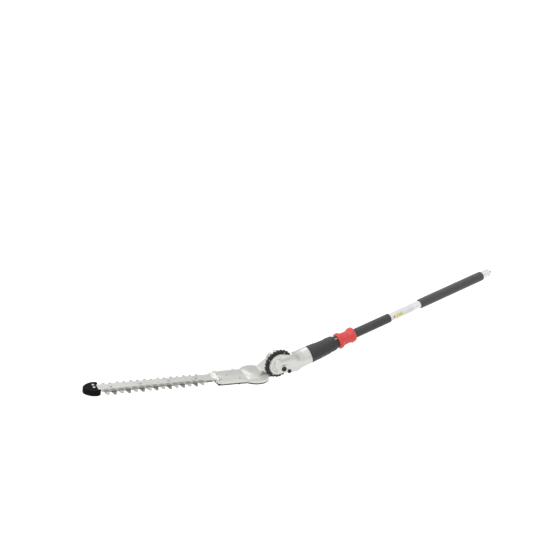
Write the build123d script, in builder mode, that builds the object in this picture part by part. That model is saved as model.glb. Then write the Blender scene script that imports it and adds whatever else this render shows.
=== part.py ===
from build123d import *
import math
import os

os.makedirs("parts", exist_ok=True)

# Millimetres, +Z up. The origin is on the pole's axis at its coupling end, +X leaves the pole there,
# and the cutting head lies towards -X. The near side, which shows the bolts, faces -Y.

# Pole
tube_radius = 12.7
tube_bore = 10.7
tube_front_x = -745.0
lock_hole_x = -9.0
sleeve_radius = 15.2
sleeve_rear_x = -420.0
label_rear_x = -327.0
grip_radius = 16.3
grip_front_x = -297.0
grip_rear_x = -31.0
shaft_radius = 4.0
shaft_fit = 0.05

# Knuckle
pivot_x = -840.0
pivot_z = 28.5
head_angle = 21.4
disc_radius = 34.8
cover_near_y = -24.0
web_near_y = -22.0
web_far_y = -16.7
ring_near_y = -16.5
ring_far_y = -11.5
ring_radius = 46.4
hub_radius = 20.0
hub_end_y = -5.5
flange_radius = 42.0
drum_radius = 28.0
drum_bore = 24.0
drum_far_y = 20.0
neck_front_x = pivot_x + 50.0
neck_rear_x = pivot_x + 109.0
neck_radius = 28.5
cover_swing_near_y = -10.2
cover_swing_radius = 53.6

# Gear teeth
module = 1.5
tooth_add = 1.2
tooth_ded = 1.7
tooth_width = 1.5
gear_near_y = -21.6
gear_far_y = -18.4

# Release collar
collar_front_x = -624.0
collar_rear_x = -561.0
rod_y = -8.0
rod_z = 17.5
rod_radius = 2.5

# Cutting head, heights from the pivot along the head's own upward direction
crank_s = 76.0
throw = 10.0
eccentric_radius = 10.0
bulge_radius = 47.0
case_half_width = 33.0
case_front_s = 206.0
cover_top = -44.6
cover_bottom = -47.8
upper_top = -37.5
upper_bottom = -40.0
lower_top = -40.1
lower_bottom = -42.6
bar_bottom = -37.4
bar_top = -31.4
train_top = -28.2
train_bottom = -33.2
bevel_y = 10.0

passage_half = 14.0
screw_seat = -32.0
case_screw_points = [(196.0, 23.5), (196.0, -23.5), (134.0, 26.5), (134.0, -26.5)]
cover_bolt_points = [(-11.0, -27.0), (-11.0, 4.0)]
plug_point = (170.0, 9.0)
ring_screw_radius = 37.5
cap_screw_radius = 26.0
notch_count = 24

# Blades
pitch = 40.0
first_tooth_s = 532.0
tooth_tip = 32.5
blade_half = 15.0
bar_half = 13.5
bolt_s = [519.0, 435.0, 351.0, 267.0]

# Frames: head_frame has x along the blades, y to the near side and z up from the blades.
# knuckle_frame has x along the blades, y up from the blades and z to the far side.
# arm_frame has x along the pole, y up and z to the near side.
tilt = math.radians(head_angle)
pivot = Vector(pivot_x, 0, pivot_z)
along = Vector(-math.cos(tilt), 0, math.sin(tilt))
upward = Vector(math.sin(tilt), 0, math.cos(tilt))
head_frame = Plane(origin=pivot, x_dir=along, z_dir=upward)
knuckle_frame = Plane(origin=pivot, x_dir=along, z_dir=(0, 1, 0))
arm_frame = Plane(origin=pivot, x_dir=(1, 0, 0), z_dir=(0, -1, 0))

# Train in the near web: layshaft, idler and pivot gear in one line from the pole's axis to the pivot
lay_teeth = 18
web_idler_teeth = 26
pivot_teeth = 24
lay_r = module * lay_teeth / 2
web_idler_r = module * web_idler_teeth / 2
pivot_r = module * pivot_teeth / 2
train_length = lay_r + 2 * web_idler_r + pivot_r
lay_dx = math.sqrt(train_length**2 - pivot_z**2)
lay_x = pivot_x + lay_dx
train_angle = math.degrees(math.atan2(-pivot_z, lay_dx))
idler_reach = pivot_r + web_idler_r
idler_dx = idler_reach * math.cos(math.radians(train_angle))
idler_dz = idler_reach * math.sin(math.radians(train_angle))
idler_point = Vector(pivot_x + idler_dx, 0, pivot_z + idler_dz)
lay_frame = Plane(origin=(lay_x, 0, 0), x_dir=(1, 0, 0), z_dir=(0, -1, 0))
idler_frame = Plane(origin=idler_point, x_dir=(1, 0, 0), z_dir=(0, -1, 0))

# Train in the head: pinion under the bevel pair, head idler on the far side, crank gear
head_pinion_teeth = 15
head_idler_teeth = 22
crank_teeth = 44
head_pinion_r = module * head_pinion_teeth / 2
head_idler_r = module * head_idler_teeth / 2
crank_r = module * crank_teeth / 2
span = math.hypot(crank_s, bevel_y)
reach_a = head_pinion_r + head_idler_r
reach_b = head_idler_r + crank_r
share = (reach_a**2 - reach_b**2 + span**2) / (2 * span)
side = math.sqrt(reach_a**2 - share**2)
unit_s = crank_s / span
unit_n = bevel_y / span
head_idler_s = share * unit_s + side * unit_n
head_idler_n = -bevel_y + share * unit_n - side * unit_s
to_pinion = math.degrees(math.atan2(-bevel_y - head_idler_n, -head_idler_s))
to_crank = math.degrees(math.atan2(-head_idler_n, crank_s - head_idler_s))
under_frame = Plane(origin=head_frame.from_local_coords((0, 0, lower_top)), x_dir=along, z_dir=-upward)
bevel_frame = Plane(origin=head_frame.from_local_coords((0, -bevel_y, 0)), x_dir=along, z_dir=upward)
head_idler_frame = Plane(
    origin=head_frame.from_local_coords((head_idler_s, head_idler_n, 0)), x_dir=along, z_dir=upward
)
crank_frame = Plane(origin=head_frame.from_local_coords((crank_s, 0, 0)), x_dir=along, z_dir=upward)

# Bevel pairs: the first turns the drive at the layshaft, the second at the pivot
pinion_teeth = 9
crown_teeth = 12
cone_length = 15.0
toe_length = 9.0
mitre_teeth = 12


# ---- Pole ----

with BuildPart() as tube:
    with BuildSketch(Plane.YZ.offset(tube_front_x)):
        Circle(tube_radius)
        Circle(tube_bore, mode=Mode.SUBTRACT)
    extrude(amount=-tube_front_x)
    with BuildSketch(Plane.XZ.offset(-tube_radius - 1)):
        with Locations((lock_hole_x, 0)):
            Circle(3.2)
    extrude(amount=2 * tube_radius + 2, mode=Mode.SUBTRACT)
    with BuildSketch(Plane.YZ.offset(-7.0)):
        with Locations((0, -tube_radius)):
            Rectangle(4.0, 8.0)
    extrude(amount=7.0, mode=Mode.SUBTRACT)
    # groove under the grip's edge that ends the coupler's seat
    with BuildSketch(Plane.YZ.offset(grip_rear_x - 2.0)):
        Circle(tube_radius + 1.0)
        Circle(tube_radius - 0.2, mode=Mode.SUBTRACT)
    extrude(amount=2.0, mode=Mode.SUBTRACT)
tube.part.label = "tube"
export_step(tube.part, "parts/tube.step")

with BuildPart() as tube_liners:
    for liner_x in [-540.0, -330.0, -120.0]:
        with BuildSketch(Plane.YZ.offset(liner_x)):
            Circle(tube_bore)
            Circle(shaft_radius + shaft_fit, mode=Mode.SUBTRACT)
        extrude(amount=22.0)
tube_liners.part.label = "tube_liners"
export_step(tube_liners.part, "parts/tube_liners.step")

with BuildPart() as sleeve:
    with BuildSketch(Plane.YZ.offset(-583.0)):
        Circle(sleeve_radius)
        Circle(tube_radius, mode=Mode.SUBTRACT)
    extrude(amount=sleeve_rear_x + 583.0)
    rear_rim = sleeve.edges().filter_by(GeomType.CIRCLE).group_by(Axis.X)[-1].sort_by(SortBy.RADIUS)[-1]
    fillet(rear_rim, 1.2)
sleeve.part.label = "sleeve"
export_step(sleeve.part, "parts/sleeve.step")

with BuildPart() as label_wrap:
    with BuildSketch(Plane.YZ.offset(sleeve_rear_x + 0.5)):
        Circle(tube_radius + 0.25)
        Circle(tube_radius, mode=Mode.SUBTRACT)
    extrude(amount=label_rear_x - sleeve_rear_x)
label_wrap.part.label = "label_wrap"
export_step(label_wrap.part, "parts/label_wrap.step")

with BuildPart() as foam_grip:
    with BuildSketch(Plane.YZ.offset(grip_front_x)):
        Circle(grip_radius)
        Circle(tube_radius, mode=Mode.SUBTRACT)
    extrude(amount=grip_rear_x - grip_front_x)
    outer_rims = foam_grip.edges().filter_by(GeomType.CIRCLE).sort_by(SortBy.RADIUS)[-2:]
    fillet(outer_rims, 1.6)
foam_grip.part.label = "foam_grip"
export_step(foam_grip.part, "parts/foam_grip.step")

# ---- Neck and release collar ----

with BuildPart() as neck_cover:
    with BuildSketch(Plane.XZ):
        with BuildLine():
            Polyline(
                (neck_rear_x, 28.3),
                (-702.0, 27.3),
                (-698.0, 26.0),
                (-637.0, 23.6),
                (-634.0, 22.4),
                (-634.0, 12.7),
                (-638.0, 12.7),
                (-638.0, 20.8),
                (-698.0, 23.4),
                (neck_rear_x, 25.6),
                (neck_rear_x, 28.3),
            )
        make_face()
    revolve(axis=Axis.X)
    with BuildSketch(Plane.YZ.offset(neck_rear_x)):
        with Locations((rod_y, rod_z)):
            Circle(rod_radius + 0.6)
    extrude(amount=100.0, mode=Mode.SUBTRACT)
    with BuildSketch(Plane.XY.offset(-24.0)):
        with Locations((-673.0, 0)):
            Rectangle(12.0, 9.0)
    extrude(amount=-4.6)
neck_cover.part.label = "neck_cover"
export_step(neck_cover.part, "parts/neck_cover.step")

with BuildPart() as collar:
    with BuildSketch(Plane.XZ):
        with BuildLine():
            Polyline(
                (collar_front_x, tube_radius + shaft_fit),
                (collar_front_x, 24.6),
                (-622.2, 26.2),
                (-613.5, 26.2),
                (-610.0, 24.4),
                (-605.0, 21.9),
                (-597.0, 21.2),
                (-588.0, 21.2),
                (-580.5, 22.0),
                (-576.0, 24.2),
                (-573.0, 25.2),
                (-563.0, 25.2),
                (collar_rear_x, 23.6),
                (collar_rear_x, sleeve_radius + shaft_fit),
                (-572.0, sleeve_radius + shaft_fit),
                (-572.0, 19.0),
                (-616.0, 19.0),
                (-616.0, tube_radius + shaft_fit),
                (collar_front_x, tube_radius + shaft_fit),
            )
        make_face()
    revolve(axis=Axis.X)
    with BuildSketch(Plane.YZ.offset(collar_front_x - 1)):
        with Locations((rod_y, rod_z)):
            Circle(rod_radius)
    extrude(amount=9.5, mode=Mode.SUBTRACT)
collar.part.label = "collar"
export_step(collar.part, "parts/collar.step")

with BuildPart() as collar_stop:
    with BuildSketch(Plane.YZ.offset(-587.0)):
        Circle(18.4)
        Circle(tube_radius, mode=Mode.SUBTRACT)
    extrude(amount=4.0)
collar_stop.part.label = "collar_stop"
export_step(collar_stop.part, "parts/collar_stop.step")

with BuildPart() as collar_spring:
    with BuildLine() as coil:
        Helix(pitch=6.75, height=27.0, radius=15.9, center=(-615.0, 0, 0), direction=(1, 0, 0))
    with BuildSketch(Plane(coil.line @ 0, z_dir=coil.line % 0)):
        Circle(0.8)
    sweep(path=coil.line, is_frenet=True)
collar_spring.part.label = "collar_spring"
export_step(collar_spring.part, "parts/collar_spring.step")

with BuildPart() as link_rod:
    with BuildSketch(Plane.YZ.offset(pivot_x + 64.0)):
        with Locations((rod_y, rod_z)):
            Circle(rod_radius)
    extrude(amount=collar_front_x + 8.0 - pivot_x - 64.0)
link_rod.part.label = "link_rod"
export_step(link_rod.part, "parts/link_rod.step")

with BuildPart() as lock_pawl:
    with BuildSketch(arm_frame.offset(4.4)):
        with BuildLine():
            Polyline(
                (33.4, 34.8),
                (36.0, 36.6),
                (45.6, 30.4),
                (54.6, 20.4),
                (60.6, 9.0),
                (64.0, 3.0),
                (64.0, -13.4),
                (52.0, -13.4),
                (50.6, 1.5),
                (48.9, 8.0),
                (44.7, 21.2),
                (39.4, 28.8),
                (33.4, 34.8),
            )
        make_face()
    extrude(amount=8.4)
lock_pawl.part.label = "lock_pawl"
export_step(lock_pawl.part, "parts/lock_pawl.step")

# ---- Arm ----

with BuildPart() as arm_housing:
    with BuildSketch(Plane.XZ):
        with BuildLine():
            Polyline(
                (pivot_x + 4.0, 0),
                (pivot_x + 4.0, 17.0),
                (pivot_x + 12.0, 24.0),
                (pivot_x + 72.0, neck_radius),
                (neck_rear_x, neck_radius),
                (neck_rear_x, 16.0),
                (neck_rear_x + 50.0, 16.0),
                (neck_rear_x + 50.0, 0),
                (pivot_x + 4.0, 0),
            )
        make_face()
    revolve(axis=Axis.X)
    # the head's drum and ring turn in this space
    with BuildSketch(knuckle_frame.offset(web_far_y)):
        Circle(ring_radius + 1.5)
    extrude(amount=60.0, mode=Mode.SUBTRACT)
    # the head's bottom cover and its bolts swing through this wider space
    with BuildSketch(knuckle_frame.offset(cover_swing_near_y)):
        Circle(cover_swing_radius)
    extrude(amount=60.0, mode=Mode.SUBTRACT)
    with BuildSketch(arm_frame.offset(-web_far_y)):
        Circle(disc_radius)
        with BuildLine():
            Polyline(
                (14.0, 31.5),
                (38.0, 18.5),
                (62.0, 8.5),
                (84.0, -3.0),
                (84.0, -42.0),
                (30.0, -43.5),
                (-4.0, -34.2),
                (0.0, 0.0),
                (14.0, 31.5),
            )
        make_face()
    extrude(amount=web_far_y - web_near_y)
    with BuildSketch(knuckle_frame.offset(web_far_y - 0.5)):
        Circle(hub_radius)
    extrude(amount=hub_end_y - web_far_y + 0.5)
    with BuildSketch(arm_frame.offset(-web_near_y)):
        Rectangle(200.0, 160.0)
        with Locations((115.0, 0)):
            Rectangle(130.0, 160.0, mode=Mode.SUBTRACT)
    extrude(amount=30.0, mode=Mode.SUBTRACT)
    # pocket the pawl slides in, open at the top
    with BuildSketch(arm_frame.offset(4.0)):
        with Locations((62.0, 1.0)):
            Rectangle(38.0, 30.4)
    extrude(amount=9.6, mode=Mode.SUBTRACT)
    # hole for the link rod
    with BuildSketch(Plane.YZ.offset(neck_front_x)):
        with Locations((rod_y, rod_z)):
            Circle(rod_radius + 0.5)
    extrude(amount=neck_rear_x - neck_front_x + 1, mode=Mode.SUBTRACT)
    # socket for the pole
    with BuildSketch(Plane.YZ.offset(tube_front_x)):
        Circle(tube_radius)
    extrude(amount=110.0, mode=Mode.SUBTRACT)
    with BuildSketch(Plane.YZ.offset(lay_x + 6.0)):
        Circle(10.5)
    extrude(amount=tube_front_x - lay_x, mode=Mode.SUBTRACT)
    # bevel chamber and the layshaft's bearing bore
    with BuildSketch(lay_frame.offset(-4.0)):
        Circle(15.0)
    extrude(amount=17.6, mode=Mode.SUBTRACT)
    # gear chambers in the near web
    with BuildSketch(lay_frame.offset(-gear_far_y - 0.6)):
        Circle(lay_r + 2.0)
    extrude(amount=gear_far_y - gear_near_y + 2.0, mode=Mode.SUBTRACT)
    with BuildSketch(idler_frame.offset(-gear_far_y - 0.6)):
        Circle(web_idler_r + 2.0)
    extrude(amount=gear_far_y - gear_near_y + 2.0, mode=Mode.SUBTRACT)
    with BuildSketch(arm_frame.offset(-gear_far_y - 0.6)):
        Circle(pivot_r + 2.0)
    extrude(amount=gear_far_y - gear_near_y + 2.0, mode=Mode.SUBTRACT)
    # bores for the layshaft and the pivot shaft's bush
    with BuildSketch(lay_frame.offset(13.0)):
        Circle(6.0)
    extrude(amount=6.0, mode=Mode.SUBTRACT)
    with BuildSketch(arm_frame.offset(0.0)):
        Circle(9.0)
    extrude(amount=18.5, mode=Mode.SUBTRACT)
    with BuildSketch(arm_frame.offset(-web_near_y)):
        with Locations((10.5, -21.5), (25.9, -37.6)):
            Circle(2.4)
    extrude(amount=-4.6, mode=Mode.SUBTRACT)
arm_housing.part.label = "arm_housing"
export_step(arm_housing.part, "parts/arm_housing.step")

with BuildPart() as arm_cover:
    with BuildSketch(arm_frame.offset(-web_near_y)):
        Circle(disc_radius)
        with BuildLine():
            Polyline(
                (14.0, 31.5),
                (38.0, 18.5),
                (49.8, 13.6),
                (49.8, -43.0),
                (30.0, -43.5),
                (-4.0, -34.2),
                (0.0, 0.0),
                (14.0, 31.5),
            )
        make_face()
    extrude(amount=web_near_y - cover_near_y)
    near_edges = arm_cover.faces().sort_by(Axis.Y)[0].edges()
    fillet(near_edges, 1.4)
    with BuildSketch(arm_frame.offset(-web_near_y)):
        with Locations((10.5, -21.5), (25.9, -37.6)):
            Circle(2.4)
    extrude(amount=5.0, mode=Mode.SUBTRACT)
    with BuildSketch(arm_frame.offset(-cover_near_y)):
        with BuildLine():
            CenterArc((0, 0), 25.5, 95, 115)
            CenterArc((0, 0), 15.5, 95, 115)
            Line((25.5 * math.cos(math.radians(95)), 25.5 * math.sin(math.radians(95))),
                 (15.5 * math.cos(math.radians(95)), 15.5 * math.sin(math.radians(95))))
            Line((25.5 * math.cos(math.radians(210)), 25.5 * math.sin(math.radians(210))),
                 (15.5 * math.cos(math.radians(210)), 15.5 * math.sin(math.radians(210))))
        make_face()
    extrude(amount=-1.0, mode=Mode.SUBTRACT)
arm_cover.part.label = "arm_cover"
export_step(arm_cover.part, "parts/arm_cover.step")

with BuildPart() as cover_bolt_large:
    with BuildSketch(arm_frame.offset(-cover_near_y)):
        with Locations((10.5, -21.5)):
            Circle(7.8)
    extrude(amount=3.6)
    head_rim = cover_bolt_large.faces().sort_by(Axis.Y)[0].edges()
    fillet(head_rim, 1.8)
    with BuildSketch(arm_frame.offset(-cover_near_y + 3.6)):
        with Locations((10.5, -21.5)):
            RegularPolygon(3.2, 6)
    extrude(amount=-2.0, mode=Mode.SUBTRACT)
    with BuildSketch(arm_frame.offset(-cover_near_y)):
        with Locations((10.5, -21.5)):
            Circle(2.4)
    extrude(amount=-6.4)
cover_bolt_large.part.label = "cover_bolt_large"
export_step(cover_bolt_large.part, "parts/cover_bolt_large.step")

with BuildPart() as cover_bolt_small:
    with BuildSketch(arm_frame.offset(-cover_near_y)):
        with Locations((25.9, -37.6)):
            Circle(6.4)
    extrude(amount=3.2)
    head_rim = cover_bolt_small.faces().sort_by(Axis.Y)[0].edges()
    fillet(head_rim, 1.4)
    with BuildSketch(arm_frame.offset(-cover_near_y + 3.2)):
        with Locations((25.9, -37.6)):
            RegularPolygon(2.8, 6)
    extrude(amount=-1.8, mode=Mode.SUBTRACT)
    with BuildSketch(arm_frame.offset(-cover_near_y)):
        with Locations((25.9, -37.6)):
            Circle(2.4)
    extrude(amount=-6.4)
cover_bolt_small.part.label = "cover_bolt_small"
export_step(cover_bolt_small.part, "parts/cover_bolt_small.step")

with BuildPart() as drive_bush:
    with BuildSketch(Plane.YZ.offset(tube_front_x - 14.0)):
        Circle(10.5)
        Circle(shaft_radius + shaft_fit, mode=Mode.SUBTRACT)
    extrude(amount=12.0)
drive_bush.part.label = "drive_bush"
export_step(drive_bush.part, "parts/drive_bush.step")

with BuildPart() as lay_bush:
    with BuildSketch(lay_frame.offset(13.0)):
        Circle(6.0)
        Circle(shaft_radius + shaft_fit, mode=Mode.SUBTRACT)
    extrude(amount=4.8)
lay_bush.part.label = "lay_bush"
export_step(lay_bush.part, "parts/lay_bush.step")

with BuildPart() as pivot_bush:
    with BuildSketch(arm_frame.offset(-hub_end_y)):
        Circle(9.0)
        Circle(5.0 + shaft_fit, mode=Mode.SUBTRACT)
    extrude(amount=12.3)
pivot_bush.part.label = "pivot_bush"
export_step(pivot_bush.part, "parts/pivot_bush.step")

with BuildPart() as hub_retainer:
    with BuildSketch(knuckle_frame.offset(hub_end_y)):
        Circle(23.0)
        Circle(9.0, mode=Mode.SUBTRACT)
        with PolarLocations(14.5, 4, 45):
            Circle(2.0, mode=Mode.SUBTRACT)
    extrude(amount=2.4)
hub_retainer.part.label = "hub_retainer"
export_step(hub_retainer.part, "parts/hub_retainer.step")

with BuildPart() as retainer_screws:
    with BuildSketch(knuckle_frame.offset(hub_end_y)):
        with PolarLocations(14.5, 4, 45):
            Circle(2.0)
    extrude(amount=2.4)
    with BuildSketch(knuckle_frame.offset(hub_end_y + 2.4)):
        with PolarLocations(14.5, 4, 45):
            Circle(3.4)
    extrude(amount=2.0)
retainer_screws.part.label = "retainer_screws"
export_step(retainer_screws.part, "parts/retainer_screws.step")

# ---- Drive shaft and its train ----

with BuildPart() as drive_shaft:
    with BuildSketch(Plane.YZ.offset(lay_x + 16.0)):
        Circle(shaft_radius)
    extrude(amount=10.0 - lay_x - 16.0)
    with BuildSketch(Plane.YZ.offset(-14.0)):
        with PolarLocations(shaft_radius, 7):
            Rectangle(1.4, 1.2)
    extrude(amount=24.0, mode=Mode.SUBTRACT)
drive_shaft.part.label = "drive_shaft"
export_step(drive_shaft.part, "parts/drive_shaft.step")

with BuildPart() as drive_pinion:
    with BuildSketch(Plane((lay_x, 0, 0), x_dir=(1, 0, 0), z_dir=(0, -1, 0))):
        with BuildLine():
            Polyline(
                (toe_length * 0.8 + tooth_ded * 0.6, 0),
                (toe_length * 0.8 + tooth_ded * 0.6, toe_length * 0.6 - tooth_ded * 0.8),
                (cone_length * 0.8 + tooth_ded * 0.6, cone_length * 0.6 - tooth_ded * 0.8),
                (16.0, cone_length * 0.6 - tooth_ded * 0.8),
                (16.0, 0),
                (toe_length * 0.8 + tooth_ded * 0.6, 0),
            )
        make_face()
    revolve(axis=Axis.X)
    for index in range(pinion_teeth):
        turn = 2 * math.pi * index / pinion_teeth
        radial = Vector(0, -math.cos(turn), -math.sin(turn))
        tooth_plane = Plane(origin=(lay_x, 0, 0), x_dir=(1, 0, 0), z_dir=Vector(1, 0, 0).cross(radial))
        with BuildSketch(tooth_plane):
            with BuildLine():
                Polyline(
                    (toe_length * 0.8 + 2.1 * 0.6, toe_length * 0.6 - 2.1 * 0.8),
                    (toe_length * 0.8 - tooth_add * 0.6, toe_length * 0.6 + tooth_add * 0.8),
                    (cone_length * 0.8 - tooth_add * 0.6, cone_length * 0.6 + tooth_add * 0.8),
                    (cone_length * 0.8 + 2.1 * 0.6, cone_length * 0.6 - 2.1 * 0.8),
                    (toe_length * 0.8 + 2.1 * 0.6, toe_length * 0.6 - 2.1 * 0.8),
                )
            make_face()
        extrude(amount=0.7, both=True)
drive_pinion.part.label = "drive_pinion"
export_step(drive_pinion.part, "parts/drive_pinion.step")

with BuildPart() as crown_gear:
    with BuildSketch(Plane((lay_x, 0, 0), x_dir=(0, -1, 0), z_dir=(0, 0, 1))):
        with BuildLine():
            Polyline(
                (toe_length * 0.6 + tooth_ded * 0.8, 0),
                (toe_length * 0.6 + tooth_ded * 0.8, toe_length * 0.8 - tooth_ded * 0.6),
                (cone_length * 0.6 + tooth_ded * 0.8, cone_length * 0.8 - tooth_ded * 0.6),
                (12.6, cone_length * 0.8 - tooth_ded * 0.6),
                (12.6, 0),
                (toe_length * 0.6 + tooth_ded * 0.8, 0),
            )
        make_face()
    revolve(axis=Axis((lay_x, 0, 0), (0, -1, 0)))
    for index in range(crown_teeth):
        turn = 2 * math.pi * (index + 0.5) / crown_teeth
        radial = Vector(math.cos(turn), 0, math.sin(turn))
        tooth_plane = Plane(origin=(lay_x, 0, 0), x_dir=(0, -1, 0), z_dir=Vector(0, -1, 0).cross(radial))
        with BuildSketch(tooth_plane):
            with BuildLine():
                Polyline(
                    (toe_length * 0.6 + 2.1 * 0.8, toe_length * 0.8 - 2.1 * 0.6),
                    (toe_length * 0.6 - tooth_add * 0.8, toe_length * 0.8 + tooth_add * 0.6),
                    (cone_length * 0.6 - tooth_add * 0.8, cone_length * 0.8 + tooth_add * 0.6),
                    (cone_length * 0.6 + 2.1 * 0.8, cone_length * 0.8 - 2.1 * 0.6),
                    (toe_length * 0.6 + 2.1 * 0.8, toe_length * 0.8 - 2.1 * 0.6),
                )
            make_face()
        extrude(amount=0.7, both=True)
    with BuildSketch(lay_frame.offset(0.0)):
        Circle(shaft_radius)
    extrude(amount=15.0, mode=Mode.SUBTRACT)
crown_gear.part.label = "crown_gear"
export_step(crown_gear.part, "parts/crown_gear.step")

with BuildPart() as layshaft:
    with BuildSketch(lay_frame.offset(7.0)):
        Circle(shaft_radius)
    extrude(amount=14.9)
layshaft.part.label = "layshaft"
export_step(layshaft.part, "parts/layshaft.step")

with BuildPart() as lay_gear:
    with BuildSketch(lay_frame.offset(-gear_far_y)):
        Circle(lay_r - tooth_ded)
        with PolarLocations(lay_r - 0.4, lay_teeth, train_angle + 180):
            Rectangle(3.2, tooth_width)
        Circle(shaft_radius, mode=Mode.SUBTRACT)
    extrude(amount=gear_far_y - gear_near_y)
lay_gear.part.label = "lay_gear"
export_step(lay_gear.part, "parts/lay_gear.step")

with BuildPart() as web_idler:
    with BuildSketch(idler_frame.offset(-gear_far_y)):
        Circle(web_idler_r - tooth_ded)
        with PolarLocations(web_idler_r - 0.4, web_idler_teeth, train_angle + 180 + 180 / web_idler_teeth):
            Rectangle(3.2, tooth_width)
        Circle(3.0 + shaft_fit, mode=Mode.SUBTRACT)
    extrude(amount=gear_far_y - gear_near_y)
web_idler.part.label = "web_idler"
export_step(web_idler.part, "parts/web_idler.step")

with BuildPart() as web_idler_pin:
    with BuildSketch(idler_frame.offset(-gear_far_y - 0.6)):
        Circle(3.0)
    extrude(amount=gear_far_y - web_near_y + 0.6)
web_idler_pin.part.label = "web_idler_pin"
export_step(web_idler_pin.part, "parts/web_idler_pin.step")

with BuildPart() as pivot_gear:
    with BuildSketch(arm_frame.offset(-gear_far_y)):
        Circle(pivot_r - tooth_ded)
        with PolarLocations(pivot_r - 0.4, pivot_teeth, train_angle):
            Rectangle(3.2, tooth_width)
        Circle(5.0, mode=Mode.SUBTRACT)
    extrude(amount=gear_far_y - gear_near_y)
pivot_gear.part.label = "pivot_gear"
export_step(pivot_gear.part, "parts/pivot_gear.step")

with BuildPart() as pivot_shaft:
    with BuildSketch(arm_frame.offset(-web_near_y - 0.1)):
        Circle(5.0)
    extrude(amount=-25.0)
pivot_shaft.part.label = "pivot_shaft"
export_step(pivot_shaft.part, "parts/pivot_shaft.step")

with BuildPart() as upper_mitre:
    with BuildSketch(Plane(bevel_frame.origin, x_dir=(0, -1, 0), z_dir=along)):
        with BuildLine():
            Polyline(
                (7.4, 0),
                (7.4, 5.0),
                (10.9, 8.3),
                (12.1, 8.3),
                (12.1, 0),
                (7.4, 0),
            )
        make_face()
    revolve(axis=Axis(bevel_frame.origin, (0, -1, 0)))
    for index in range(mitre_teeth):
        turn = 2 * math.pi * index / mitre_teeth
        radial = along * math.cos(turn) + upward * math.sin(turn)
        tooth_plane = Plane(bevel_frame.origin, x_dir=(0, -1, 0), z_dir=Vector(0, -1, 0).cross(radial))
        with BuildSketch(tooth_plane):
            with BuildLine():
                Polyline((7.6, 4.9), (6.6, 6.1), (10.0, 9.5), (11.0, 8.1), (7.6, 4.9))
            make_face()
        extrude(amount=0.7, both=True)
    with BuildSketch(arm_frame.offset(-12.0)):
        Circle(5.0)
    extrude(amount=16.0, mode=Mode.SUBTRACT)
upper_mitre.part.label = "upper_mitre"
export_step(upper_mitre.part, "parts/upper_mitre.step")

# ---- Shafts and gears in the head ----

with BuildPart() as lower_mitre:
    with BuildSketch(Plane(bevel_frame.origin, x_dir=-upward, z_dir=along)):
        with BuildLine():
            Polyline(
                (8.1, 0),
                (8.1, 4.3),
                (11.6, 7.6),
                (12.8, 7.6),
                (12.8, 0),
                (8.1, 0),
            )
        make_face()
    revolve(axis=Axis(bevel_frame.origin, -upward))
    for index in range(mitre_teeth):
        turn = 2 * math.pi * index / mitre_teeth
        radial = along * math.cos(turn) + Vector(0, 1, 0) * math.sin(turn)
        tooth_plane = Plane(bevel_frame.origin, x_dir=-upward, z_dir=(-upward).cross(radial))
        with BuildSketch(tooth_plane):
            with BuildLine():
                Polyline((8.3, 4.2), (7.3, 5.4), (10.7, 8.8), (11.7, 7.4), (8.3, 4.2))
            make_face()
        extrude(amount=0.7, both=True)
lower_mitre.part.label = "lower_mitre"
export_step(lower_mitre.part, "parts/lower_mitre.step")

with BuildPart() as head_pinion_shaft:
    with BuildSketch(bevel_frame.offset(-12.8)):
        Circle(shaft_radius)
    extrude(amount=-29.5)
head_pinion_shaft.part.label = "head_pinion_shaft"
export_step(head_pinion_shaft.part, "parts/head_pinion_shaft.step")

with BuildPart() as head_pinion:
    with BuildSketch(bevel_frame.offset(train_bottom)):
        Circle(head_pinion_r - tooth_ded)
        with PolarLocations(head_pinion_r - 0.4, head_pinion_teeth, to_pinion + 180):
            Rectangle(3.2, tooth_width)
        Circle(shaft_radius, mode=Mode.SUBTRACT)
    extrude(amount=train_top - train_bottom)
head_pinion.part.label = "head_pinion"
export_step(head_pinion.part, "parts/head_pinion.step")

with BuildPart() as head_idler:
    with BuildSketch(head_idler_frame.offset(train_bottom)):
        Circle(head_idler_r - tooth_ded)
        with PolarLocations(head_idler_r - 0.4, head_idler_teeth, to_pinion + 180 / head_idler_teeth):
            Rectangle(3.2, tooth_width)
        Circle(3.0 + shaft_fit, mode=Mode.SUBTRACT)
    extrude(amount=train_top - train_bottom)
head_idler.part.label = "head_idler"
export_step(head_idler.part, "parts/head_idler.step")

# the crank gear is phased by the idler's teeth, so that a gap meets a tooth on the line of centres
idler_step = 360 / head_idler_teeth
idler_phase = (to_crank - to_pinion - idler_step / 2) / idler_step
crank_step = 360 / crank_teeth
crank_start = to_crank + 180 + crank_step * (0.5 + (idler_phase - math.floor(idler_phase)))

with BuildPart() as crank_gear:
    with BuildSketch(crank_frame.offset(train_bottom)):
        Circle(crank_r - tooth_ded)
        with PolarLocations(crank_r - 0.4, crank_teeth, crank_start):
            Rectangle(3.2, tooth_width)
        Circle(6.0, mode=Mode.SUBTRACT)
    extrude(amount=train_top - train_bottom)
crank_gear.part.label = "crank_gear"
export_step(crank_gear.part, "parts/crank_gear.step")

with BuildPart() as crank_shaft:
    with BuildSketch(crank_frame.offset(cover_bottom + 0.6)):
        Circle(4.0)
    extrude(amount=lower_bottom - cover_bottom - 0.6)
    with BuildSketch(crank_frame.offset(lower_bottom)):
        with Locations((-throw, 0)):
            Circle(eccentric_radius)
    extrude(amount=lower_top - lower_bottom)
    with BuildSketch(crank_frame.offset(lower_top)):
        Circle(4.0)
    extrude(amount=upper_bottom - lower_top)
    with BuildSketch(crank_frame.offset(upper_bottom)):
        with Locations((throw, 0)):
            Circle(eccentric_radius)
    extrude(amount=upper_top - upper_bottom)
    with BuildSketch(crank_frame.offset(upper_top)):
        Circle(6.0)
    extrude(amount=-24.4 - upper_top)
crank_shaft.part.label = "crank_shaft"
export_step(crank_shaft.part, "parts/crank_shaft.step")

# ---- Cutting head ----

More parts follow.
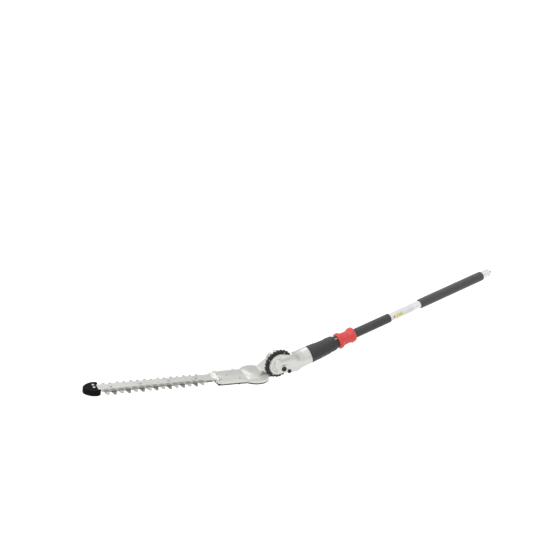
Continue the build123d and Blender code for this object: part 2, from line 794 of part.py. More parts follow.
# space the blades' yokes swing in, kept a wall's thickness off the disc's room
with BuildPart() as chamber:
    with BuildSketch(crank_frame.offset(cover_top)):
        Circle(bulge_radius - 3.0)
    extrude(amount=upper_top + 0.4 - cover_top)
    with BuildSketch(knuckle_frame.offset(ring_far_y + 2.2)):
        Circle(ring_radius + 2.4)
    extrude(amount=-60.0, mode=Mode.SUBTRACT)

with BuildPart() as head_case:
    # flat body around the blades' back ends
    with BuildSketch(head_frame.offset(cover_top + 0.8)) as outline:
        with Locations((crank_s, 0), (crank_s - 5.0, 0)):
            Circle(bulge_radius)
        with BuildLine():
            Polyline(
                (crank_s, -case_half_width - 4),
                (130.0, -case_half_width),
                (192.0, -case_half_width + 1),
                (case_front_s - 3, -case_half_width + 8),
                (case_front_s, 0),
                (case_front_s - 3, case_half_width - 8),
                (192.0, case_half_width - 1),
                (130.0, case_half_width),
                (crank_s, case_half_width + 4),
                (crank_s, -case_half_width - 4),
            )
        make_face()
        with Locations((15.0, -11.5)):
            RectangleRounded(62.0, 41.0, 9.0)
    extrude(amount=9.2)
    # arched back of the narrow part
    with BuildSketch(Plane(head_frame.from_local_coords((crank_s, 0, 0)), x_dir=(0, -1, 0), z_dir=along)):
        with BuildLine():
            Polyline((-case_half_width + 0.6, -34.6), (-31.0, -32.8))
            ThreePointArc((-31.0, -32.8), (0, -25.0), (31.0, -32.8))
            Polyline((31.0, -32.8), (case_half_width - 0.6, -34.6), (-case_half_width + 0.6, -34.6))
        make_face()
    extrude(amount=case_front_s - crank_s - 6.0)
    # dome over the crank gear
    with BuildSketch(Plane(head_frame.from_local_coords((crank_s, 0, 0)), x_dir=along, z_dir=(0, 1, 0))):
        with BuildLine():
            Polyline((0, -34.6), (bulge_radius - 0.6, -34.6), (bulge_radius - 2.4, -31.0))
            ThreePointArc((bulge_radius - 2.4, -31.0), (36.0, -25.2), (20.0, -22.2))
            Polyline((20.0, -22.2), (0, -22.2), (0, -34.6))
        make_face()
    revolve(axis=Axis(crank_frame.origin, upward))
    # flange and drum of the knuckle, the buttress that carries them, the pinion's and idler's hump
    with BuildSketch(knuckle_frame.offset(ring_far_y)):
        Circle(flange_radius)
    extrude(amount=hub_end_y - 0.1 - ring_far_y)
    with BuildSketch(knuckle_frame.offset(ring_far_y + 2.0)):
        Circle(drum_radius)
    extrude(amount=drum_far_y - ring_far_y - 2.0)
    with BuildSketch(knuckle_frame.offset(ring_far_y)):
        with BuildLine():
            Polyline((0, 27.9), (9.0, 26.4), (32.0, 2.0), (62.0, -26.0), (62.0, -34.6), (-4, -34.6), (0, 27.9))
        make_face()
    extrude(amount=drum_far_y - ring_far_y)
    with BuildSketch(head_frame.offset(-34.7)):
        with Locations((13.0, -10.0)):
            RectangleRounded(54.0, 34.0, 9.0)
    extrude(amount=10.0)
    with BuildSketch(knuckle_frame.offset(drum_far_y)):
        Circle(drum_radius + 0.1)
    extrude(amount=20.0, mode=Mode.SUBTRACT)
    # room for the disc and index ring on the near side
    with BuildSketch(knuckle_frame.offset(ring_far_y)):
        Circle(ring_radius + 0.6)
    extrude(amount=-60.0, mode=Mode.SUBTRACT)
    # seat of the arm's hub, open drum behind it
    with BuildSketch(knuckle_frame.offset(ring_far_y)):
        Circle(hub_radius + shaft_fit)
    extrude(amount=7.0, mode=Mode.SUBTRACT)
    with BuildSketch(knuckle_frame.offset(hub_end_y - 0.1)):
        Circle(drum_bore)
    extrude(amount=drum_far_y - hub_end_y + 0.1, mode=Mode.SUBTRACT)
    # gear and crank chamber, open underneath
    add(chamber.part, mode=Mode.SUBTRACT)
    with BuildSketch(crank_frame.offset(cover_top)):
        Circle(crank_r + 1.8)
    extrude(amount=train_top + 0.6 - cover_top, mode=Mode.SUBTRACT)
    with BuildSketch(head_idler_frame.offset(train_bottom - 0.6)):
        Circle(head_idler_r + 1.8)
    extrude(amount=train_top - train_bottom + 1.2, mode=Mode.SUBTRACT)
    with BuildSketch(bevel_frame.offset(train_bottom - 0.6)):
        Circle(head_pinion_r + 1.8)
    extrude(amount=train_top - train_bottom + 1.2, mode=Mode.SUBTRACT)
    with BuildSketch(bevel_frame.offset(-42.4)):
        Circle(shaft_radius + 0.6)
    extrude(amount=20.0, mode=Mode.SUBTRACT)
    # passage for the blades' shanks, and the bar's seat
    with BuildSketch(head_frame.offset(cover_top)):
        with Locations((160.0, 0)):
            Rectangle(140.0, 2 * passage_half)
    extrude(amount=upper_top + 0.1 - cover_top, mode=Mode.SUBTRACT)
    with BuildSketch(head_frame.offset(upper_top)):
        with Locations((198.0, 0)):
            Rectangle(36.0, 2 * bar_half)
    extrude(amount=bar_top - upper_top, mode=Mode.SUBTRACT)
    # bearing bores, idler pin and screw holes
    with BuildSketch(crank_frame.offset(-30.0)):
        Circle(9.0)
    extrude(amount=5.8, mode=Mode.SUBTRACT)
    with BuildSketch(bevel_frame.offset(-42.4)):
        Circle(7.0)
    extrude(amount=4.2, mode=Mode.SUBTRACT)
    with BuildSketch(head_idler_frame.offset(-38.0)):
        Circle(3.0)
    extrude(amount=12.6, mode=Mode.SUBTRACT)
    with BuildSketch(head_frame.offset(cover_top)):
        with Locations(*case_screw_points):
            Circle(2.0)
    extrude(amount=20.0, mode=Mode.SUBTRACT)
    with BuildSketch(head_frame.offset(screw_seat)):
        with Locations(*case_screw_points):
            Circle(3.9)
    extrude(amount=8.0, mode=Mode.SUBTRACT)
    with BuildSketch(head_frame.offset(cover_top)):
        with Locations(*cover_bolt_points):
            Circle(2.0)
    extrude(amount=6.8, mode=Mode.SUBTRACT)
    with BuildSketch(head_frame.offset(-35.0)):
        with Locations(plug_point):
            Circle(2.5)
    extrude(amount=12.0, mode=Mode.SUBTRACT)
    with BuildSketch(knuckle_frame.offset(ring_far_y)):
        with PolarLocations(ring_screw_radius, 4, 20):
            Circle(2.0)
    extrude(amount=4.0, mode=Mode.SUBTRACT)
    with BuildSketch(knuckle_frame.offset(drum_far_y - 8.0)):
        with PolarLocations(cap_screw_radius, 6, 0):
            Circle(1.2)
    extrude(amount=8.0, mode=Mode.SUBTRACT)
head_case.part.label = "head_case"
export_step(head_case.part, "parts/head_case.step")

with BuildPart() as index_ring:
    with BuildSketch(knuckle_frame.offset(ring_near_y)):
        Circle(ring_radius)
        Circle(29.0, mode=Mode.SUBTRACT)
        with PolarLocations(ring_radius, notch_count, 180 - head_angle - 46.3):
            Rectangle(5.4, 6.2, mode=Mode.SUBTRACT)
        with PolarLocations(ring_screw_radius, 4, 20):
            Circle(2.0, mode=Mode.SUBTRACT)
    extrude(amount=ring_far_y - ring_near_y)
index_ring.part.label = "index_ring"
export_step(index_ring.part, "parts/index_ring.step")

with BuildPart() as ring_screws:
    with BuildSketch(knuckle_frame.offset(ring_near_y)):
        with PolarLocations(ring_screw_radius, 4, 20):
            Circle(2.0)
    extrude(amount=9.0)
ring_screws.part.label = "ring_screws"
export_step(ring_screws.part, "parts/ring_screws.step")

with BuildPart() as drum_cap:
    with BuildSketch(knuckle_frame.offset(drum_far_y)):
        Circle(drum_radius)
        with PolarLocations(cap_screw_radius, 6, 0):
            Circle(1.2, mode=Mode.SUBTRACT)
    extrude(amount=3.5)
    far_rim = drum_cap.faces().sort_by(Axis.Y)[-1].outer_wire().edges()
    chamfer(far_rim, 0.7)
drum_cap.part.label = "drum_cap"
export_step(drum_cap.part, "parts/drum_cap.step")

with BuildPart() as cap_screws:
    with BuildSketch(knuckle_frame.offset(drum_far_y - 8.0)):
        with PolarLocations(cap_screw_radius, 6, 0):
            Circle(1.2)
    extrude(amount=11.5)
    with BuildSketch(knuckle_frame.offset(drum_far_y + 3.5)):
        with PolarLocations(cap_screw_radius, 6, 0):
            Circle(1.9)
    extrude(amount=1.6)
cap_screws.part.label = "cap_screws"
export_step(cap_screws.part, "parts/cap_screws.step")

with BuildPart() as gasket:
    with BuildSketch(head_frame.offset(cover_top)):
        with Locations((crank_s, 0), (crank_s - 5.0, 0)):
            Circle(bulge_radius)
        with BuildLine():
            Polyline(
                (crank_s, -case_half_width - 4),
                (130.0, -case_half_width),
                (192.0, -case_half_width + 1),
                (case_front_s - 3, -case_half_width + 8),
                (case_front_s, 0),
                (case_front_s - 3, case_half_width - 8),
                (192.0, case_half_width - 1),
                (130.0, case_half_width),
                (crank_s, case_half_width + 4),
                (crank_s, -case_half_width - 4),
            )
        make_face()
        with Locations((15.0, -11.5)):
            RectangleRounded(62.0, 41.0, 9.0)
        with Locations((crank_s, 0)):
            Circle(bulge_radius - 3.0, mode=Mode.SUBTRACT)
        with Locations((170.0, 0)):
            Rectangle(120.0, 2 * passage_half, mode=Mode.SUBTRACT)
        with Locations(*case_screw_points):
            Circle(2.0, mode=Mode.SUBTRACT)
        with Locations(*cover_bolt_points):
            Circle(2.0, mode=Mode.SUBTRACT)
    extrude(amount=0.8)
    with BuildSketch(knuckle_frame.offset(ring_far_y)):
        Circle(ring_radius + 0.6)
    extrude(amount=-60.0, mode=Mode.SUBTRACT)
gasket.part.label = "gasket"
export_step(gasket.part, "parts/gasket.step")

with BuildPart() as bottom_cover:
    with BuildSketch(head_frame.offset(cover_bottom)):
        with Locations((crank_s, 0), (crank_s - 5.0, 0)):
            Circle(bulge_radius)
        with BuildLine():
            Polyline(
                (crank_s, -case_half_width - 4),
                (130.0, -case_half_width),
                (192.0, -case_half_width + 1),
                (case_front_s - 3, -case_half_width + 8),
                (case_front_s, 0),
                (case_front_s - 3, case_half_width - 8),
                (192.0, case_half_width - 1),
                (130.0, case_half_width),
                (crank_s, case_half_width + 4),
                (crank_s, -case_half_width - 4),
            )
        make_face()
        with Locations((15.0, -11.5)):
            RectangleRounded(62.0, 41.0, 9.0)
    extrude(amount=cover_top - cover_bottom)
    with BuildSketch(knuckle_frame.offset(ring_far_y)):
        Circle(ring_radius + 0.6)
    extrude(amount=-60.0, mode=Mode.SUBTRACT)
    with BuildSketch(crank_frame.offset(cover_bottom + 0.5)):
        Circle(4.0 + shaft_fit)
    extrude(amount=5.0, mode=Mode.SUBTRACT)
    with BuildSketch(head_frame.offset(cover_bottom)):
        with Locations(*case_screw_points):
            Circle(2.0)
        with Locations(*cover_bolt_points):
            Circle(2.0)
    extrude(amount=5.0, mode=Mode.SUBTRACT)
bottom_cover.part.label = "bottom_cover"
export_step(bottom_cover.part, "parts/bottom_cover.step")

with BuildPart() as cover_bolts:
    with BuildSketch(head_frame.offset(cover_bottom)):
        with Locations(*cover_bolt_points):
            Circle(2.0)
    extrude(amount=10.0)
    with BuildSketch(head_frame.offset(cover_bottom)):
        with Locations(*cover_bolt_points):
            Circle(4.4)
    extrude(amount=-3.0)
cover_bolts.part.label = "cover_bolts"
export_step(cover_bolts.part, "parts/cover_bolts.step")

with BuildPart() as case_screws:
    with BuildSketch(head_frame.offset(cover_bottom - 3.0)):
        with Locations(*case_screw_points):
            Circle(2.0)
    extrude(amount=screw_seat - cover_bottom + 3.0)
    with BuildSketch(head_frame.offset(screw_seat)):
        with Locations(*case_screw_points):
            Circle(3.6)
    extrude(amount=2.6)
case_screws.part.label = "case_screws"
export_step(case_screws.part, "parts/case_screws.step")

with BuildPart() as case_nuts:
    with BuildSketch(head_frame.offset(cover_bottom)):
        with Locations(*case_screw_points):
            RegularPolygon(4.4, 6)
            Circle(2.0, mode=Mode.SUBTRACT)
    extrude(amount=-3.0)
case_nuts.part.label = "case_nuts"
export_step(case_nuts.part, "parts/case_nuts.step")

with BuildPart() as grease_plug:
    with BuildSketch(head_frame.offset(-31.2)):
        with Locations(plug_point):
            Circle(2.5)
    extrude(amount=6.2)
    with BuildSketch(head_frame.offset(-25.0)):
        with Locations(plug_point):
            RegularPolygon(3.6, 6)
    extrude(amount=2.0)
grease_plug.part.label = "grease_plug"
export_step(grease_plug.part, "parts/grease_plug.step")

with BuildPart() as crank_bush:
    with BuildSketch(crank_frame.offset(-27.4)):
        Circle(9.0)
        Circle(6.0 + shaft_fit, mode=Mode.SUBTRACT)
    extrude(amount=3.2)
crank_bush.part.label = "crank_bush"
export_step(crank_bush.part, "parts/crank_bush.step")

with BuildPart() as pinion_bush:
    with BuildSketch(bevel_frame.offset(-42.4)):
        Circle(7.0)
        Circle(shaft_radius + shaft_fit, mode=Mode.SUBTRACT)
    extrude(amount=4.2)
pinion_bush.part.label = "pinion_bush"
export_step(pinion_bush.part, "parts/pinion_bush.step")

with BuildPart() as head_idler_pin:
    with BuildSketch(head_idler_frame.offset(-38.0)):
        Circle(3.0)
    extrude(amount=12.6)
head_idler_pin.part.label = "head_idler_pin"
export_step(head_idler_pin.part, "parts/head_idler_pin.step")

with BuildPart() as guide_bar:
    with BuildSketch(head_frame.offset(bar_bottom)):
        with Locations((378.5, 0)):
            Rectangle(393.0, 2 * bar_half)
        for bolt_place in bolt_s:
            with Locations((bolt_place, 0)):
                Circle(2.5, mode=Mode.SUBTRACT)
        with Locations((566.0, 7.0), (566.0, -7.0)):
            Circle(2.0, mode=Mode.SUBTRACT)
    extrude(amount=bar_top - bar_bottom)
guide_bar.part.label = "guide_bar"
export_step(guide_bar.part, "parts/guide_bar.step")

with BuildPart() as upper_blade:
    with BuildSketch(head_frame.offset(upper_bottom)):
        with Locations((390.5, 0)):
            Rectangle(309.0, 2 * blade_half)
        with Locations((175.0, 0)):
            Rectangle(124.0, 24.0)
        with Locations((crank_s + throw, 0)):
            SlotOverall(66.8, 46.8)
    extrude(amount=upper_top - upper_bottom)
    for tooth in range(8):
        tooth_s = first_tooth_s - tooth * pitch
        with BuildSketch(head_frame.offset(upper_bottom)):
            for edge in (-1, 1):
                with BuildLine():
                    Polyline(
                        (tooth_s + edge * 8.0, edge * (blade_half - 1.0)),
                        (tooth_s + edge * 8.0, edge * blade_half),
                        (tooth_s + edge * 3.4, edge * (tooth_tip - 0.8)),
                        (tooth_s + edge * 2.4, edge * tooth_tip),
                        (tooth_s - edge * 2.4, edge * tooth_tip),
                        (tooth_s - edge * 3.4, edge * (tooth_tip - 0.8)),
                        (tooth_s - edge * 8.0, edge * blade_half),
                        (tooth_s - edge * 8.0, edge * (blade_half - 1.0)),
                        (tooth_s + edge * 8.0, edge * (blade_half - 1.0)),
                    )
                make_face()
        extrude(amount=upper_top - upper_bottom, taper=20)
    with BuildSketch(head_frame.offset(upper_bottom)):
        with Locations((crank_s + throw, 0)):
            SlotOverall(60.8, 40.8)
        for bolt_place in bolt_s:
            with Locations((bolt_place + throw, 0)):
                SlotOverall(28.4, 8.1)
        with Locations((378.0, 0), (462.0, 0)):
            SlotOverall(30.0, 8.1)
    extrude(amount=upper_top - upper_bottom, mode=Mode.SUBTRACT)
upper_blade.part.label = "upper_blade"
export_step(upper_blade.part, "parts/upper_blade.step")

with BuildPart() as lower_blade:
    with BuildSketch(head_frame.offset(lower_top)):
        with Locations((370.5, 0)):
            Rectangle(309.0, 2 * blade_half)
        with Locations((155.0, 0)):
            Rectangle(124.0, 24.0)
        with Locations((crank_s - throw, 0)):
            SlotOverall(66.8, 46.8)
    extrude(amount=lower_bottom - lower_top)
    for tooth in range(7):
        tooth_s = first_tooth_s - pitch / 2 - tooth * pitch
        with BuildSketch(under_frame):
            for edge in (-1, 1):
                with BuildLine():
                    Polyline(
                        (tooth_s + edge * 8.0, edge * (blade_half - 1.0)),
                        (tooth_s + edge * 8.0, edge * blade_half),
                        (tooth_s + edge * 3.4, edge * (tooth_tip - 0.8)),
                        (tooth_s + edge * 2.4, edge * tooth_tip),
                        (tooth_s - edge * 2.4, edge * tooth_tip),
                        (tooth_s - edge * 3.4, edge * (tooth_tip - 0.8)),
                        (tooth_s - edge * 8.0, edge * blade_half),
                        (tooth_s - edge * 8.0, edge * (blade_half - 1.0)),
                        (tooth_s + edge * 8.0, edge * (blade_half - 1.0)),
                    )
                make_face()
        extrude(amount=lower_top - lower_bottom, taper=20)
    with BuildSketch(head_frame.offset(lower_top)):
        with Locations((crank_s - throw, 0)):
            SlotOverall(60.8, 40.8)
        for bolt_place in bolt_s:
            with Locations((bolt_place - throw, 0)):
                SlotOverall(28.4, 8.1)
    extrude(amount=lower_bottom - lower_top, mode=Mode.SUBTRACT)
lower_blade.part.label = "lower_blade"
export_step(lower_blade.part, "parts/lower_blade.step")

with BuildPart() as blade_bolts:
    for bolt_place in bolt_s:
        with BuildSketch(head_frame.offset(-46.2)):
            with Locations((bolt_place, 0)):
                Circle(2.5)
        extrude(amount=bar_top + 46.2)
        with BuildSketch(head_frame.offset(bar_top)):
            with Locations((bolt_place, 0)):
                Circle(5.2)
        extrude(amount=2.6)
blade_bolts.part.label = "blade_bolts"
export_step(blade_bolts.part, "parts/blade_bolts.step")

with BuildPart() as blade_spacers:
    for bolt_place in bolt_s:
        with BuildSketch(head_frame.offset(lower_bottom - 0.1)):
            with Locations((bolt_place, 0)):
                Circle(4.0)
                Circle(2.5, mode=Mode.SUBTRACT)
        extrude(amount=bar_bottom - lower_bottom + 0.1)
blade_spacers.part.label = "blade_spacers"
export_step(blade_spacers.part, "parts/blade_spacers.step")

with BuildPart() as blade_nuts:
    for bolt_place in bolt_s:
        with BuildSketch(head_frame.offset(lower_bottom - 0.1)):
            with Locations((bolt_place, 0)):
                Circle(7.0)
                Circle(2.5, mode=Mode.SUBTRACT)
        extrude(amount=-1.0)
        with BuildSketch(head_frame.offset(lower_bottom - 1.1)):
            with Locations((bolt_place, 0)):
                RegularPolygon(4.6, 6)
                Circle(2.5, mode=Mode.SUBTRACT)
        extrude(amount=-2.5)
blade_nuts.part.label = "blade_nuts"
export_step(blade_nuts.part, "parts/blade_nuts.step")

with BuildPart() as tip_guard:
    with BuildSketch(head_frame.offset(-45.5)):
        with BuildLine():
            Spline(
                (550.0, 21.0),
                (553.0, 25.0),
                (562.0, 27.0),
                (574.0, 25.0),
                (585.0, 18.0),
                (592.5, 9.5),
                (595.0, 0.0),
                (592.5, -9.5),
                (585.0, -18.0),
                (574.0, -25.0),
                (562.0, -27.0),
                (553.0, -25.0),
                (550.0, -21.0),
            )
            Polyline((550.0, -21.0), (557.0, -17.0), (557.0, 17.0), (550.0, 21.0))
        make_face()
    extrude(amount=17.0)
    top_rim = tip_guard.edges().filter_by(GeomType.BSPLINE)
    fillet(top_rim, 3.0)
    with BuildSketch(head_frame.offset(bar_bottom)):
        with Locations((565.0, 0)):
            Rectangle(20.0, 2 * bar_half)
    extrude(amount=bar_top - bar_bottom, mode=Mode.SUBTRACT)
    with BuildSketch(head_frame.offset(-42.0)):
        with Locations((566.0, 7.0), (566.0, -7.0)):
            Circle(2.0)
    extrude(amount=20.0, mode=Mode.SUBTRACT)
tip_guard.part.label = "tip_guard"
export_step(tip_guard.part, "parts/tip_guard.step")

with BuildPart() as guard_screws:
    with BuildSketch(head_frame.offset(-42.0)):
        with Locations((566.0, 7.0), (566.0, -7.0)):
            Circle(2.0)
    extrude(amount=13.5)
    with BuildSketch(head_frame.offset(-28.5)):
        with Locations((566.0, 7.0), (566.0, -7.0)):
            Circle(3.6)
    extrude(amount=2.0)
guard_screws.part.label = "guard_screws"
export_step(guard_screws.part, "parts/guard_screws.step")
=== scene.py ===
"""Looks for a pole hedge trimmer's cutting attachment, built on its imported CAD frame.

Metres throughout. The pole runs along +X from its open end at the origin's side, the cutting head is
towards -X, the bolts of the knuckle show on the -Y side, and +Z is up.
"""

import logging
import math
from collections.abc import Callable
from dataclasses import dataclass, field
from enum import Enum

import bpy
import numpy as np
from mathutils import Matrix, Vector

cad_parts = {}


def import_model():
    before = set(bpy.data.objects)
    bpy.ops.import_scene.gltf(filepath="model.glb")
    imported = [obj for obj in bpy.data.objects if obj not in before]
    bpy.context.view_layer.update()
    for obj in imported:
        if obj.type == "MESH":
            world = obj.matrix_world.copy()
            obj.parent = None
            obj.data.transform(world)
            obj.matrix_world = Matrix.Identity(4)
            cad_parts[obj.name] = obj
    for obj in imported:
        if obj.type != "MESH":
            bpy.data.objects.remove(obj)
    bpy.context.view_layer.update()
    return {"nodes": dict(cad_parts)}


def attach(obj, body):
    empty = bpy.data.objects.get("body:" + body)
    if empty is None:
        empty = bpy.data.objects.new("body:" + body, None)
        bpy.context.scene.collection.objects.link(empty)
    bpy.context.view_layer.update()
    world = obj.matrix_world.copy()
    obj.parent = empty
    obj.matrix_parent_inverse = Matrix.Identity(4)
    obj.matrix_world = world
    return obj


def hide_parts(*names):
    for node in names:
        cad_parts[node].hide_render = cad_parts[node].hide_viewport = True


LOG = logging.getLogger("hedge_trimmer")
MM = 0.001
PIVOT = np.array([-0.840, 0.0, 0.0285])
TILT = math.radians(21.4)
DUST_COLOUR = (0.55, 0.53, 0.50, 1.0)
ALONG = np.array([-math.cos(TILT), 0.0, math.sin(TILT)])
NEAR = np.array([0.0, -1.0, 0.0])
UPWARD = np.array([math.sin(TILT), 0.0, math.cos(TILT)])


class Grain(Enum):
    """The kinds of fine surface that a finish can have."""

    CAST = "cast"
    BRUSHED = "brushed"
    MOULDED = "moulded"
    PORES = "pores"


class Lie(Enum):
    """The direction that a brushed grain runs in."""

    POLE = "pole"
    HEAD = "head"
    ACROSS_HEAD = "across_head"


# ---------------------------------------------------------------- shapes


def smooth_step(values: np.ndarray, low: float, high: float) -> np.ndarray:
    """Rises from 0 at low to 1 at high as 3t^2 - 2t^3.

    Args:
        values: where to work it out.
        low: where the rise starts.
        high: where the rise ends.

    Returns:
        The eased share at each value.
    """
    t = np.clip((values - low) / (high - low), 0.0, 1.0)
    return t * t * (3.0 - 2.0 * t)


def window(values: np.ndarray, low: float, high: float, soft: float) -> np.ndarray:
    """A soft-edged band: 1 between low and high, and 0 further than soft outside them.

    Args:
        values: where to work it out.
        low: the band's lower side.
        high: the band's upper side.
        soft: the width of each soft edge.

    Returns:
        The band's share at each value.
    """
    return smooth_step(values, low - soft, low) * (1.0 - smooth_step(values, high, high + soft))


def rounded_loop(corners: np.ndarray, reach: float, steps: int) -> np.ndarray:
    """Rounds a closed polyline's corners with quadratic arcs.

    Each corner C with neighbours A and B becomes the curve (1-t)^2 P + 2t(1-t) C + t^2 Q, where P and Q lie
    on the two sides, reach away from C or 0.45 of the side where that is less.

    Args:
        corners: the polyline's points, one in each row.
        reach: how far from a corner its curve starts.
        steps: points on each curve.

    Returns:
        The rounded polyline's points.
    """
    before = np.roll(corners, 1, axis=0) - corners
    after = np.roll(corners, -1, axis=0) - corners
    length_a = np.linalg.norm(before, axis=1, keepdims=True)
    length_b = np.linalg.norm(after, axis=1, keepdims=True)
    start = corners + before / length_a * np.minimum(reach, 0.45 * length_a)
    stop = corners + after / length_b * np.minimum(reach, 0.45 * length_b)
    t = np.linspace(0.0, 1.0, steps)[None, :, None]
    curve = (1 - t) ** 2 * start[:, None] + 2 * t * (1 - t) * corners[:, None] + t**2 * stop[:, None]
    return curve.reshape(-1, corners.shape[1])


def subdivide(line: np.ndarray, spacing: float) -> np.ndarray:
    """Resamples a closed polyline at an even spacing along its length.

    Args:
        line: the polyline's points.
        spacing: the wanted distance between points.

    Returns:
        Evenly spaced points on the same line.
    """
    whole = np.vstack([line, line[:1]])
    gaps = np.linalg.norm(np.diff(whole, axis=0), axis=1)
    travel = np.concatenate([[0.0], np.cumsum(gaps)])
    count = max(12, int(travel[-1] / spacing))
    wanted = np.arange(count) / count * travel[-1]
    both = np.sort(np.concatenate([wanted, travel[:-1]]))
    both = both[np.concatenate([[True], np.diff(both) > spacing * 0.08])]
    return np.column_stack([np.interp(both, travel, whole[:, k]) for k in range(whole.shape[1])])


def surface(
    name: str, points: np.ndarray, wrap_rows: bool, wrap_columns: bool, cap: bool = False
) -> bpy.types.Object:
    """Makes a mesh of quads from a grid of points, with faces outwards.

    Point (i, j) joins (i+1, j), (i+1, j+1) and (i, j+1). The faces of a wrapped shape are turned round if
    its volume, the sum of a . (b x c) / 6 over its triangles, is negative.

    Args:
        name: the piece's name.
        points: the grid, of shape rows by columns by 3, in metres.
        wrap_rows: whether the last row joins the first.
        wrap_columns: whether the last column joins the first.
        cap: whether the first and last rows are closed with a fan to their middle.

    Returns:
        The new object, linked to the scene.
    """
    rows, columns = points.shape[:2]
    index = np.arange(rows * columns).reshape(rows, columns)
    if wrap_rows:
        index = np.vstack([index, index[:1]])
    if wrap_columns:
        index = np.hstack([index, index[:, :1]])
    quads = np.stack([index[:-1, :-1], index[1:, :-1], index[1:, 1:], index[:-1, 1:]], axis=-1).reshape(-1, 4)
    vertices = points.reshape(-1, 3)
    fans = np.zeros((0, 3), int)
    if cap:
        middle = np.array([rows * columns, rows * columns + 1])
        vertices = np.vstack([vertices, points[0].mean(0), points[-1].mean(0)])
        first = np.column_stack([index[0, :-1], index[0, 1:], np.full(index.shape[1] - 1, middle[0])])
        last = np.column_stack([index[-1, 1:], index[-1, :-1], np.full(index.shape[1] - 1, middle[1])])
        fans = np.vstack([first, last])
    triangles = np.vstack([quads[:, [0, 1, 2]], quads[:, [0, 2, 3]], fans])
    a, b, c = (vertices[triangles[:, k]] for k in range(3))
    if (wrap_rows or wrap_columns) and np.einsum("ij,ij->i", a, np.cross(b, c)).sum() < 0:
        quads, fans = quads[:, ::-1], fans[:, ::-1]
    mesh = bpy.data.meshes.new(name)
    loops = np.concatenate([quads.ravel(), fans.ravel()]).astype(np.int32)
    sizes = np.concatenate([np.full(len(quads), 4), np.full(len(fans), 3)])
    mesh.vertices.add(len(vertices))
    mesh.vertices.foreach_set("co", vertices.astype(np.float32).ravel())
    mesh.loops.add(len(loops))
    mesh.loops.foreach_set("vertex_index", loops)
    mesh.polygons.add(len(sizes))
    mesh.polygons.foreach_set("loop_start", np.concatenate([[0], np.cumsum(sizes)[:-1]]).astype(np.int32))
    mesh.polygons.foreach_set("use_smooth", np.ones(len(sizes), bool))
    mesh.update(calc_edges=True)
    mesh.validate()
    piece = bpy.data.objects.new(name, mesh)
    bpy.context.scene.collection.objects.link(piece)
    return piece


def turned(
    profile: np.ndarray,
    around: int,
    swell: Callable[[np.ndarray, np.ndarray, np.ndarray], np.ndarray] | None = None,
) -> np.ndarray:
    """Turns a closed profile about the pole's axis.

    The point at angle a is (x, -(r + d) sin a, (r + d) cos a), where d is swell(x, a, r), so 0 is up and a
    quarter turn is the near side.

    Args:
        profile: rows of (x, r), in millimetres.
        around: the number of columns round the axis.
        swell: gives how far each point stands out, in millimetres.

    Returns:
        The grid of points, in metres.
    """
    angle = np.arange(around) / around * 2 * math.pi
    x, a = np.meshgrid(profile[:, 0], angle, indexing="ij")
    radius = np.repeat(profile[:, 1:2], around, axis=1)
    if swell is not None:
        radius = radius + swell(x, a, radius)
    return np.stack([x, -radius * np.sin(a), radius * np.cos(a)], axis=-1) * MM


def head_points(s: np.ndarray, n: np.ndarray, z: np.ndarray) -> np.ndarray:
    """Places points in the head's own directions: pivot + s along + n near + z upward.

    Args:
        s: how far along the blades from the pivot, in millimetres.
        n: how far to the near side.
        z: how far up from the pivot, square to the blades.

    Returns:
        The points in the shared frame, in metres.
    """
    return PIVOT + (s[..., None] * ALONG + n[..., None] * NEAR + z[..., None] * UPWARD) * MM


# ---------------------------------------------------------------- finishes


class Sheet:
    """A node tree with short calls that add nodes and join them."""

    def __init__(self, tree: bpy.types.NodeTree) -> None:
        """Takes the tree to add to."""
        self.tree = tree

    def add(self, kind: str, settings: dict | None = None, **values: object) -> bpy.types.Node:
        """Adds a node, sets its properties and its sockets.

        Args:
            kind: the node's type name.
            settings: properties of the node itself.
            values: input sockets by name, with _ for a space, each a value or an output socket to join.

        Returns:
            The new node.
        """
        node = self.tree.nodes.new(kind)
        for key, value in (settings or {}).items():
            setattr(node, key, value)
        for key, value in values.items():
            target = node.inputs[int(key[1:])] if key[1:].isdigit() else node.inputs[key.replace("_", " ")]
            if isinstance(value, bpy.types.NodeSocket):
                self.tree.links.new(value, target)
            else:
                target.default_value = value
        return node

    def math(self, kind: str, a: object, b: object = 0.0, clamp: bool = False) -> bpy.types.NodeSocket:
        """Adds a Math node.

        Args:
            kind: the operation.
            a: the first value or socket.
            b: the second value or socket.
            clamp: whether the result is kept within 0 and 1.

        Returns:
            The node's output.
        """
        return self.add("ShaderNodeMath", {"operation": kind, "use_clamp": clamp}, i0=a, i1=b).outputs[0]

    def mix(self, share: object, a: object, b: object) -> bpy.types.NodeSocket:
        """Adds a colour mix.

        Args:
            share: how much of b shows, as a value or socket.
            a: the colour at share 0.
            b: the colour at share 1.

        Returns:
            The mixed colour's socket.
        """
        node = self.tree.nodes.new("ShaderNodeMix")
        node.data_type = "RGBA"
        for place, value in ((0, share), (6, a), (7, b)):
            if isinstance(value, bpy.types.NodeSocket):
                self.tree.links.new(value, node.inputs[place])
            else:
                node.inputs[place].default_value = value
        return node.outputs[2]


def new_group(
    name: str, inputs: dict[str, tuple], outputs: dict[str, str]
) -> tuple[bpy.types.NodeTree, Sheet]:
    """Starts a shader node group with named sockets.

    Args:
        name: the group's name.
        inputs: socket name to (socket type, default value).
        outputs: socket name to socket type.

    Returns:
        The group, and a sheet to fill it.
    """
    tree = bpy.data.node_groups.new(name, "ShaderNodeTree")
    for label, (kind, value) in inputs.items():
        socket = tree.interface.new_socket(name=label, in_out="INPUT", socket_type=kind)
        if value is not None:
            socket.default_value = value
    for label, kind in outputs.items():
        tree.interface.new_socket(name=label, in_out="OUTPUT", socket_type=kind)
    return tree, Sheet(tree)


